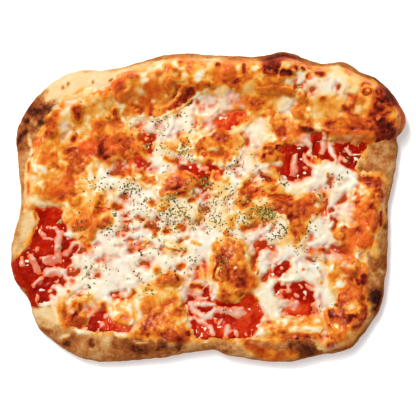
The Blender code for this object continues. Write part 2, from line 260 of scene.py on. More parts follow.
def surfaceOf(piece, lowest=5, rings=14):  # height of the upper surface over the plan, carried out past its edge
    depsgraph = bpy.context.evaluated_depsgraph_get()
    tree = BVHTree.FromObject(piece, depsgraph)
    heights = np.full(planX.shape, np.nan)
    down = Vector((0, 0, -1))
    for row in range(planX.shape[0]):
        for col in range(planX.shape[1]):
            hit = tree.ray_cast(Vector((planXs[col] * mm, planYs[row] * mm, 0.1)), down)[0]
            if hit is not None:
                heights[row, col] = hit.z / mm
    solid = ~np.isnan(heights)
    heights[~solid] = 0
    inner = solid & (heights > lowest)
    known = inner.astype(float)
    values = heights * known
    for _ in range(rings):
        weight = known.copy()
        total = values.copy()
        for axis in (0, 1):
            for way in (1, -1):
                weight += np.roll(known, way, axis)
                total += np.roll(values, way, axis)
        grown = (known == 0) & (weight > 0)
        values[grown] = total[grown] / weight[grown]
        known[grown] = 1
    return values, solid


crust = smoothCrust()
baseHeight, overCrust = surfaceOf(crust)
print("crust smoothed:", len(crust.data.vertices), "points")

# Where things lie, in mm. An outline is x, y pairs. A strip is x, y, radius, again for each bend of it.
# A zone is a level and then its strip, and a later zone lies over an earlier one.
cheeseLimit = [  # the outline of the cheese
    (-117.5, 3.5), (-111, 9), (-108.5, 16), (-108, 28), (-104, 40), (-97, 49), (-91, 58), (-85, 66), (-70, 69.5),
    (-58, 71), (-53, 78), (-42, 84.5), (-28, 89), (-21, 90.8), (-10, 90), (8, 90), (24, 90), (34, 91), (44, 93),
    (54, 91.5), (62, 87), (70, 85.5), (82, 84.5), (92, 80), (100, 75.5), (108, 68.5), (114, 60), (117, 54),
    (113, 46), (108, 41), (98, 40), (96, 38), (92, 31), (89.5, 24), (94, 20), (103, 19), (106, 13), (107, 6),
    (105, -2), (103, -10), (100, -18), (95.5, -25), (92.5, -32), (93, -48), (95, -58), (94.5, -66), (89, -76),
    (84, -83), (74, -86.5), (66, -84), (65, -78), (50, -77), (40, -80), (28, -79), (16, -80), (4, -80), (-8, -80),
    (-12, -77.5), (-28, -77.5), (-44, -76), (-52, -77), (-62, -76), (-72, -75.5), (-84, -72), (-89, -68), (-93, -62),
    (-95, -57), (-104, -58), (-112, -53), (-118, -42), (-118, -31), (-110, -24), (-104, -12), (-104, -3),
    (-112, -1.5),
]

sauceFields = [  # open sauce
    [(-108, -2), (-87, -1), (-85, -8), (-86, -15), (-79, -19), (-80, -22), (-84, -30), (-90, -37), (-89.5, -46),
     (-96, -53), (-97, -58), (-104, -58), (-112, -55), (-118, -48), (-123, -38), (-122, -30), (-113, -23),
     (-109, -14)],
    [(-9, -47), (0, -46), (1, -51), (3, -55), (10, -58), (20, -57.5), (21, -53), (27, -52), (30, -57), (31, -62),
     (33, -70), (28, -73), (22, -78), (14, -81), (2, -81), (-9, -80), (-10, -70), (-13, -63), (-12, -60),
     (-16, -57.5), (-12, -53), (-5, -54)],
    [(41, -44.5), (46, -46), (52, -45.5), (58, -43), (62.5, -48), (63, -55), (64.5, -64), (56, -67), (45, -65.5),
     (43.5, -60.5), (52, -59.5), (53.5, -57), (50, -54.5), (44, -54), (39.5, -53.5), (38.5, -49)],
    [(39, -34), (45.5, -29.5), (49.5, -30.5), (49, -37), (44, -41), (41, -44), (37, -43), (37.5, -38)],
    [(27, -20.5), (33, -20), (41, -22), (40, -27), (37, -24), (32, -26), (29, -32), (27, -37), (25.5, -32),
     (28, -25)],
    [(-7.5, -37), (-3, -32.5), (-1, -36), (0, -43), (-3, -39)],
    [(43, 19), (49, 15), (50, 18), (47, 23), (45.5, 28), (43, 24)],
    [(42, 37), (50, 38.5), (60, 37), (62, 29), (61, 17), (55, 15.5), (50, 15), (47, 22), (44, 28)],
    [(61.5, 45), (71, 45), (72, 33), (74, 28), (70, 26), (66, 29), (62, 28), (61, 34)],
    [(2, 53), (6, 57), (14, 56), (22, 58), (23, 53), (15, 47.5), (6, 48)],
    [(-47.5, 31), (-41, 31.5), (-35, 29), (-35, 25), (-41, 24.5), (-46, 26)],
    [(-38, 46), (-33, 44), (-31.5, 37), (-33, 31), (-36, 33), (-38.5, 39)],
    [(-19, 27), (-10, 28), (-4, 25), (1.5, 27), (2, 19), (-3, 16), (-11, 21), (-18, 23)],
    [(74, 40), (96, 39.5), (95, 31), (93, 22.5), (87, 22), (82, 25), (77, 27)],
    [(-86, -69.5), (-78, -70), (-71, -66), (-63, -61.5), (-60, -64), (-57, -69), (-47, -71), (-48, -75.5),
     (-62, -75.5), (-70, -76.5), (-74, -72), (-81, -74)],
    [(-8, 25), (-2, 25.5), (5, 25), (9, 22), (3, 20.5), (2, 12), (-3, 9), (-6, 14), (-3, 20)],
]

sauceStrips = [  # narrow gaps with sauce
    (-83.5, -40, 1.6, -78, -38.5, 2.2), (-87, -34, 2.6, -83, -29, 2.4, -79, -24, 1.6),
    (-76, -19, 1.2, -72, -22, 1.6), (67, 33, 3.2, 63, 28, 2), (34, -43, 2, 37, -37, 1.6),
    (-96, -48, 2.2, -92, -51, 1.8), (5, 17, 2, 9, 22, 1.4), (26, 10, 1.4, 34, 9, 1.2),
    (-89, -43.5, 1.6, -86, -45.5, 1), (-82, -54, 1.3, -77, -51, 1.6, -73, -48, 1.2),
    (-67, -31.5, 1.3, -66.5, -33, 1.2), (-70, -40, 1.1, -65.5, -39.5, 1.1),
    (-43, -35, 1, -38.5, -33.5, 1.8, -34.8, -36, 1.1), (-58, -53, 2.2, -53.5, -53, 3),
    (-53, -55, 1.3, -48, -55.5, 1.2, -44.5, -51.5, 1), (-54.5, 1, 2.2, -52.5, -0.5, 2.2),
    (-63.5, 5, 0.8, -60.5, 7.5, 1.1), (-66, -1, 2.4, -60, -0.5, 1.4), (-35, 3, 1.3, -32.5, 1.5, 1.5),
    (-49.5, -5.5, 0.9, -47.5, -4.5, 1), (-49, -8.5, 0.9, -46.5, -8.5, 1.2),
    (-42, -6.5, 1, -38.5, -8, 1.4, -35.5, -9.5, 1.4), (-35, -10.5, 0.8, -32.5, -13.5, 1.2, -30, -14, 1),
    (-26.5, -15, 1.1, -23.5, -15.5, 1.2), (-18, -11.5, 1, -14, -10.5, 0.6), (-17, -20.3, 0.9, -11.5, -18.8, 0.6),
    (-19, -27.5, 1, -14.5, -28.2, 1), (-17, -36, 1.2, -14.5, -34, 0.8), (-56, 20.5, 1.8, -52, 19.5, 1.6),
    (-48, 28.5, 1.6, -46, 26.5, 1.5), (-38, 28.5, 1.2, -35, 26.8, 1.5), (-42.5, 24.5, 1.4, -41, 24.5, 1.2),
    (-47, 22.5, 1.3, -45.5, 23.5, 1.2), (-20, 27.5, 1.2, -17, 25, 1.6, -14.5, 24.5, 1),
    (-11, 26.5, 1.3, -9.5, 24.5, 1.6), (-11, 4.5, 1, -7, 7, 1.2), (31, 21, 1.8, 35, 16, 2.2, 38.6, 12.6, 1.4),
    (30.5, 20, 1.6, 27.5, 16.5, 1.6, 28, 13.5, 0.9), (24, 12.5, 0.9, 29, 15.5, 0.9),
    (33.5, 8.5, 1, 28, 7, 1.2, 24, 2.5, 0.9), (38, 7.5, 1.1, 44, 6.5, 1.3, 50, 7, 0.8),
    (23.5, -13.5, 1.2, 29, -11.5, 1.2), (71.5, 4, 0.9, 70.5, -1, 2.2, 69, -4, 2.4),
    (72, -7, 1.5, 75.5, -8, 1.8, 76, -11.5, 0.8), (78, 2.5, 0.8, 82, 6.5, 2.4), (83.5, 3.8, 0.6, 88, 3, 0.9),
    (88, 12, 0.8, 89.8, 6.5, 1.4, 88, 1.5, 1.6), (70.5, -22.5, 0.8, 76, -24.8, 1.5, 84, -25.5, 1.6),
    (72.5, -27, 1, 71.5, -33.5, 1.2), (58.5, -31, 0.6, 61, -31.5, 1.4), (73.5, 16.8, 0.5, 75.4, 16.6, 1),
    (88, 30, 1.5, 90, 24, 2.4), (-5, 33, 0.6, 8, 32, 1.4), (-8, 51.5, 0.8, -3, 49, 1, 3, 50.5, 1),
    (6, 53, 1.6, 12, 50.5, 2.2, 17, 51.5, 1.4), (-39, 43, 2, -33.5, 41.5, 2.2), (-17.8, 44.5, 0.6, -17.3, 42.5, 0.7),
    (48, -57.8, 0.8, 50, -56.5, 1.4), (40, -37, 0.8, 37, -36.5, 0.8),
]

thinZones = [  # cheese so thin and oily that the sauce colours it
    (0.55, -55, 71, 5, -48, 66, 5), (0.55, -41, 69, 5, -32, 70, 4), (0.85, -73, 36, 5), (0.35, -66, 46, 4),
    (0.45, 11, 80, 5), (0.5, 42, 76, 3), (0.42, 88, 0, 7, 92, -6, 8, 97, -14, 6), (0.42, -93, 9, 8, -84, 18, 5),
    (0.4, -96, 28, 5), (0.7, 50, -62.5, 5, 62, -62, 4), (0.45, -66, -64, 5), (0.3, -86, -66, 4),
    (0.5, 46, 42, 5, 58, 41, 4), (0.6, -8, 51, 3, 6, 53, 5, 20, 56, 4), (0.4, -20, 22, 4, -12, 16, 3),
    (0.5, 28, 10, 4, 24, 18, 3), (0.35, -50, 24, 6), (0.5, 76, -26, 5, 84, -30, 5), (0.35, 84, -52, 6),
    (0.5, 86, -20, 5, 97, -19, 4), (0.45, -78, -10, 5, -70, -6, 4), (0.4, -56, 38, 6, -44, 38, 5),
    (0.4, 88, 50, 4, 80, 56, 3), (0.45, -60, -70, 5, -50, -70, 4), (0.4, 60, 4, 5, 66, -2, 4), (0.25, -8, 36, 4),
    (0.3, 14, 64, 5, 24, 58, 5), (0.3, -26, 62, 4, -36, 60, 4), (0.25, -20, 82, 6, -36, 80, 5), (0.3, 80, -76, 5),
    (0.6, 76, 43, 3, 84, 42.5, 3, 96, 42, 3), (0.35, -12, -48, 5, -6, -38, 4), (0.4, 26, -40, 3, 26, -50, 3),
]

rosyZones = [  # cheese with the sauce showing through it
    (0.6, -48, 26, 6, -38, 25, 5), (0.35, -46, 18, 6, -42, 14, 4), (0.5, -78, -11, 4, -72, -10, 4),
    (0.5, -64, -24, 5, -63, -32, 6, -62, -40, 5), (0.35, -78, -32, 4, -74, -40, 3), (0.6, 50, 22, 4),
    (0.4, 84, 40, 4, 92, 41, 3), (0.45, -70, 4, 2.5, -68, -8, 3), (0.5, 80, -28, 4, 84, -44, 6), (0.6, 52, -63, 6),
    (0.4, -66, -58, 5), (0.35, 14, -61.5, 4), (0.4, 36, 8, 4, 42, 3, 4), (0.5, 66, -60, 5), (0.45, 4, 47, 5),
    (0.2, -40, -9, 7), (0.3, -52, -47, 6), (0.55, 78, 38, 5), (0.75, -55, 71, 5, -48, 67, 5),
    (0.65, -40, 66, 5, -31, 70, 5), (0.55, 92, -4, 8, 96, -14, 6), (0.6, -93, 8, 7), (0.75, -73, 36, 5),
    (0.55, 11, 80, 5), (0.6, 42, 76, 3), (0.55, -90, -22, 5, -83, -25, 4), (0.6, -105, -34, 4, -94, -33, 5),
    (0.5, -103, -44, 4, -103, -53, 4), (0.6, 46, 42, 5, 58, 40, 4), (0.5, 12, 58, 5, 20, 62, 4), (0.5, -56, 22, 5),
    (0.5, -60, 36, 5, -44, 36, 5), (0.45, -16, 24, 4, -20, 16, 4), (0.4, 26, 10, 5, 32, 18, 5), (0.5, 60, 5, 5),
    (0.6, 74, 44, 4, 94, 41, 4), (0.5, -104, 18, 4), (0.5, -84, -68, 5, -78, -58, 5), (0.5, -64, -68, 4),
    (0.4, -12, -52, 5), (0.45, 66, -28, 5, 74, -22, 5), (0.5, 88, -20, 5, 97, -19, 4),
    (0.35, -74, -20, 6, -66, -26, 5), (0.3, -52, -30, 6), (0.5, -34, 51, 5), (0.4, -4, -30, 5), (0.35, 66, 20, 4),
    (0.5, 14, 41, 4), (0.4, -48, 4, 5),
]

brownZones = [  # how browned the cheese is
    (0.36, -93, 24, 15, -84, 44, 14, -68, 54, 14, -54, 60, 10), (0.44, -76, 34, 9, -74, 22, 7),
    (0.46, -70, 38, 6, -62, 46, 4), (0.46, -94, 8, 8, -84, 8, 9), (0.5, -92, 8, 6), (0.2, -104, 17, 3.5),
    (0.12, -112, 3, 4, -104, 0, 4, -92, 1, 3), (0.1, -86, 49, 3.5), (0.14, -84, 59, 3), (0.2, -95, 23.5, 3),
    (0.5, -58, 44, 9, -48, 36, 9, -40, 38, 7), (0.6, -62, 30, 3, -60, 33, 3), (0.56, -73, 36, 5),
    (0.12, -48, 52, 3.5, -40, 50, 4), (0.38, -46, 73, 11, -20, 81, 9, 10, 81, 9, 34, 80, 9),
    (0.36, -8, 80, 7, 16, 84, 5), (0.44, -53, 72, 5, -50, 66, 5), (0.36, -44, 64, 5, -30, 68, 7), (0.42, -34, 70, 4),
    (0.74, 60, 85, 4), (0.9, 37, 86, 6, 40, 90, 5, 49, 90, 5), (0.4, 46, 78, 4),
    (0.58, -46, 58, 3, -35, 56.5, 3.2, -25, 58, 3.2, -18, 61.5, 3.2, -13, 67, 3, -5, 71, 2.6, 4, 72.5, 2.4),
    (0.56, -16, 64, 2.6, -10, 70, 2.4), (0.6, 12, 74, 4, 30, 72, 4, 46, 70, 4),
    (0.25, 56, 66, 10, 72, 62, 13, 88, 61, 12), (0.58, 102, 56, 8, 108, 54, 7),
    (0.5, 74, 43.5, 2.5, 86, 43, 2.5, 98, 42, 2.5), (0.32, 74, 39.5, 2, 86, 39, 2, 98, 38.5, 2),
    (0.54, 70, 48, 5, 84, 49, 5, 97, 47, 4), (0.2, 86, 74, 6, 76, 72, 5), (0.22, 75, 77, 6), (0.2, 92, 78, 3.5),
    (0.24, 84, 68, 6, 90, 60, 4), (0.28, 89, 55, 3), (0.24, 95, 43.5, 3), (0.32, 73, 61, 7),
    (0.12, 48, 74, 2.5, 57, 76, 3), (0.1, 45, 62, 6, 44, 67, 4), (0.4, 64, 50, 4), (0.36, 26, 63, 8, 20, 55, 7),
    (0.46, 28, 68, 5, 36, 58, 5), (0.52, 8, 40, 8, 0, 32, 7, 10, 31, 6), (0.56, 42, 50, 7, 50, 46, 6),
    (0.54, 40, 38, 5, 46, 38, 5), (0.1, 35, 48, 3), (0.54, 56, 64, 5, 55, 56, 5), (0.36, 18, 41, 5),
    (0.58, 80, 49, 4, 96, 48, 5, 108, 46, 4), (0.74, 104, 62, 7, 108, 48, 5),
    (0.54, 94, 5, 8, 95, -12, 8, 88, -20, 7), (0.64, 97, 14, 6, 101, 5, 5), (0.16, 93, 10, 3),
    (0.14, 80, -2, 4, 82, -9, 6), (0.2, 90, 3, 2), (0.3, 98, -17, 3), (0.52, 80, -14, 4, 86, -18, 6),
    (0.54, 84, -32, 7, 90, -40, 8, 88, -56, 9, 86, -68, 8, 80, -80, 8), (0.62, 82, -46, 6, 84, -54, 6, 92, -46, 5),
    (0.16, 77, -30, 4), (0.34, 83, -37, 4), (0.2, 86, -60, 3), (0.24, 78, -71, 5, 72, -67, 2), (0.62, 74, -64, 4),
    (0.47, 80, -76, 8), (0.42, 46, -71, 6), (0.36, 56, -71, 6, 64, -71, 6), (0.44, 40, -74, 7),
    (0.62, 48, -78, 4, 62, -78, 4), (0.46, 46, -68.5, 2.5, 60, -67.5, 2.5),
    (0.5, -40, -58, 9, -27, -60, 12, -22, -72, 7, -38, -72, 6), (0.4, -52, -61, 8),
    (0.14, -43, -56, 2.5, -42, -65, 2.5), (0.56, -52, -68, 5), (0.4, -18, -68, 4, -32, -71, 4),
    (0.5, -84, -60, 6, -74, -58, 6), (0.12, -84, -64, 3, -82, -53, 3), (0.16, -68, -60, 5), (0.66, -79, -66, 5),
    (0.6, 14, -28, 10, 16, -46, 11), (0.68, 10, -38, 5), (0.54, 13, -52, 7),
    (0.6, -28, 9, 3.5, -18, 13, 6, -6, 18, 4), (0.5, -24, 16, 3, -14, 20, 3), (0.56, 42, 1, 5, 54, -1, 8, 64, 1, 5),
    (0.56, 51, -9, 4, 53, -19, 4), (0.46, 20, -4, 4, 20, 4, 3), (0.5, 24, 12, 2, 20, 8, 2),
    (0.56, -38, 16, 4, -33, 17, 3), (0.58, -24, -44, 4.5), (0.4, -36, -49, 4, -18, -46, 3), (0.6, -38.5, -21.5, 1.6),
    (0.34, -24, -24, 3, -14, -26, 2), (0.46, -62, -8, 4), (0.24, -56, 9, 1.6), (0.3, 68, 4, 5), (0.5, 55, -12, 4),
    # The 0.4 zone along y 36, from x -25 to 2, is painted shadow under a ridge.
    (0.34, -4, -6, 3, -7, 0, 3), (0.5, -84, -5, 4, -74, -1, 4, -64, 5, 4), (0.4, -25, 36.5, 3, -10, 37, 3, 2, 36, 3),
    (0.48, 24, 17, 2.5, 21, 9, 2.5, 23, 2, 2.5, 31, -1, 2.5), (0.46, 39, 20, 3, 41, 11, 3),
    (0.36, 46, 66, 5, 36, 64, 5), (0.13, 6, -2, 9, 10, -10, 6), (0.12, 8, 8, 6), (0.12, -16, -4, 8),
    (0.3, 34, -5, 5), (0.3, 26, -4, 4), (0.52, -27, 2, 2.5, -28, -1, 1.6), (0.3, -76, 1, 5, -83, -1, 3),
    (0.44, -78, 3, 5), (0.2, -72, 2, 2, -66, 7, 2), (0.38, 76, -36, 4, 77, -46, 4), (0.46, 4, 21, 4, 9, 15, 3),
    (0.58, 37, 10, 4, 27, 9, 3.5), (0.56, -66, 33, 5, -61, 29, 4), (0.34, -76, -17, 4, -72, -23, 3),
    (0.03, -86, 61, 7), (0.34, 66, -28, 4, 69, -34, 3), (0.34, -6, 50, 4), (0.2, 26, 30, 5), (0.54, -3, 40, 5),
    (0.52, -14, 40, 4), (0.58, -66, -10, 4, -60, -8, 2.5), (0.38, -74, 11, 5),
    (0.6, 96, -20, 4, 86, -20, 5, 80, -16, 3), (0.66, -14, -77, 5, -22, -77, 4), (0.5, 36, 31, 5),
    (0.44, -45, 20, 4), (0.56, -84, 10, 6, -88, 5, 4), (0.54, -54, 49, 5), (0.1, -74, -60, 4), (0.58, -64, 40, 6),
    (0.38, 16, -9, 4), (0.08, 46, 61, 6), (0.52, -24, 90, 3), (0.16, 6, 70, 4), (0.5, -4, 70, 3), (0.3, -34, 71, 4),
    (0.34, -24, 70, 4), (0.08, -25, 30, 4), (0.46, 26, -10, 4), (0.38, -104, 10, 4), (0.26, 26, 70, 5),
    (0.22, 6, 10, 5), (0.6, 37, 0, 4), (0.46, 16, -11, 3), (0.5, -104, 40, 4), (0.34, -34, -71, 3),
    (0.56, -44, 41, 5), (0.62, 5, -31, 4, 6, -42, 4), (0.52, -14, 89, 5), (0.34, 92, 61, 5), (0.16, -84, 41, 5),
    (0.2, 6, -10, 5), (0.44, -25, 71, 5), (0.42, -84, -1, 4), (0.42, -44, 70, 5, -35, 70, 4), (0.56, -35, 59, 4),
    (0.17, 61, 70, 5, 70, 71, 5), (0.58, -95, 50, 4), (0.46, -94, 28, 6), (0.22, 46, -20, 3),
    (0.08, -86, 63, 5, -80, 62, 3), (0.06, 3, 90, 5, 9, 90, 4), (0.1, -56, 80, 4), (0.14, -94, -60, 4),
    (0.52, 77, -40, 4), (0.14, 57, -20, 4), (0.32, 56, 60, 4), (0.38, -4, -40, 3), (0.14, 76, 72, 7),
    (0.48, 26, -30, 3, 27, -44, 3), (0.56, 26, -82, 5, 40, -87, 5, 50, -85, 4), (0.28, -94, 1, 4),
    (0.56, 112, 53, 5, 105, 56, 4), (0.46, 102, -20, 3), (0.46, -112, -26, 4, -116, -29, 3),
    (0.6, 111, 58, 4, 118, 58, 6, 118, 50, 5), (0.88, 102, 69, 4, 109, 66, 4.5, 112, 64, 3),
    (0.84, 104, 46, 4, 109, 43, 4), (0.6, 30, -90, 4, 44, -91, 4), (0.52, 66, 29, 3), (0.54, -106, 41, 4),
]

paleEdges = [  # stretches where the edge stays pale
    (1, -66, 72, 5, -50, 82, 6), (1, 6, 90, 7), (1, -96, -58, 6), (0.8, -112, 3, 5, -108, 12, 4), (1, 78, 78, 6),
]

strands = [  # cheese lying on the sauce, and small crumbs of it
    (-9, -60, 1.6, -3, -57.5, 1.8, 3, -59, 1.6), (-6, -54.5, 1.3, -1, -53.5, 1.4), (6, -69, 1.3, 8, -66.5, 1.3),
    (-90, -14.5, 2.2, -91, -22, 2.7, -90, -29.5, 2.4), (-80, -21, 1.5, -85, -28, 1.9),
    (-84.5, -5, 1.6, -84, -14, 1.7, -79, -17, 1.7, -71, -14, 1.6), (-106, -30, 2, -102, -38, 2.5),
    (-112, -30.5, 1.4, -112, -33.5, 1.5), (-98, -31, 2.5, -92, -31.5, 3.2), (-97, -38, 2.6, -90, -38.5, 3),
    (-105.5, -46.5, 1.4, -101, -42.5, 1.6), (-103, -52.5, 1.7, -103, -54.5, 1.8), (-92, -44.5, 0.9),
    (-98.5, -19, 0.9, -95.5, -19, 0.9), (-99, -16, 1.1), (-102.5, -7, 1), (-94.5, -12.5, 1.2, -91.5, -12.5, 1.2),
    (-102.5, -24.5, 1.3), (-94.5, -22.8, 0.9, -94.5, -25.2, 0.9), (-97, -12, 0.8), (-100.5, -12.5, 0.8),
    (58, 31, 1.5, 60, 26, 1.7, 64, 24, 1.6, 70, 27, 1.5), (70, 27, 1.3, 73, 24, 1.4, 75, 20, 1.5),
    (69, 47, 1.8, 69.5, 40, 1.9, 68.5, 33, 1.6), (78, 27, 1.2, 80, 29.5, 1.5, 82, 28, 1.2),
    (75, 41, 1, 83, 40.5, 1.2, 90, 40.5, 1), (83, 34.5, 1.5, 85, 32, 1.4), (52, 30, 1.7, 51, 20, 1.8), (58, 24, 1.2),
    (22, 7, 1.4, 27, 10, 1.6, 29, 13, 1.3, 33, 14, 1.4, 36, 12, 1.4, 36, 10, 1.2), (43.8, -35.7, 1.2),
    (47.5, -47.5, 1.6, 48, -50.5, 1.6), (54.5, -47.5, 1.1, 56, -48.5, 1.2), (57, -45, 1.1, 62, -50, 1.2),
    (43.5, -50, 1), (43, -53.5, 1), (52.5, -52.5, 1.1), (57, -55, 1),
    (38, -57.5, 2.6, 45, -57.5, 2.8, 52, -57.5, 2.2), (17.5, -65, 2.2, 21, -64.5, 2.2),
    (9, -62.5, 2, 20, -61.5, 2.2), (3.5, -68.5, 1.2), (22, -75.3, 1.1),
    (-10.5, -58, 2.2, -5, -64, 2.3, 0, -66, 2.4, 5, -62, 2.2, 20, -64, 2.2),
    (-8, -67, 1.5, 0, -71, 1.7, 3, -76, 1.6), (2.5, -80.5, 1.4, 2.5, -83, 1.5), (12, -71, 1.7, 10.5, -78, 1.8),
    (16, -74, 1.5, 16, -76.5, 1.6), (-8, -50.5, 2.6, -6, -50.5, 2.6), (-14, -54.5, 1.8, -14, -51.5, 1.8),
    (40.5, -64.5, 1.7, 45.5, -64, 1.8), (-57.2, -52.7, 1.3), (-53, -56, 1), (-49.5, -51, 4.6),
    (-67, -76, 1.4, -64, -70, 1.6), (-62, -65, 0.9, -58, -63, 1), (63, -59, 1.6, 66, -64, 1.7, 70, -67, 1.5),
    (18.3, 53, 1.2, 20.8, 53.2, 1.2), (-36.5, 42, 1.3), (-35.5, 28.5, 0.9), (-52.5, 21, 1),
    (-3.5, 23.5, 0.9, -0.7, 23.6, 0.9), (-5, 22.5, 0.8), (0, 21, 0.8), (29, -24.5, 1.1),
    (31, -30, 1.5, 33, -26.5, 1.7, 36, -25, 1.7, 39, -30, 1.6), (69.5, -4.5, 1.1), (-49, -23, 2.4, -42, -20, 2.4),
    (-7, 3, 1.8, -3.5, 6.5, 2, -0.5, 9, 1.8), (-67, -13, 1.2, -63, -18, 1.2),
]

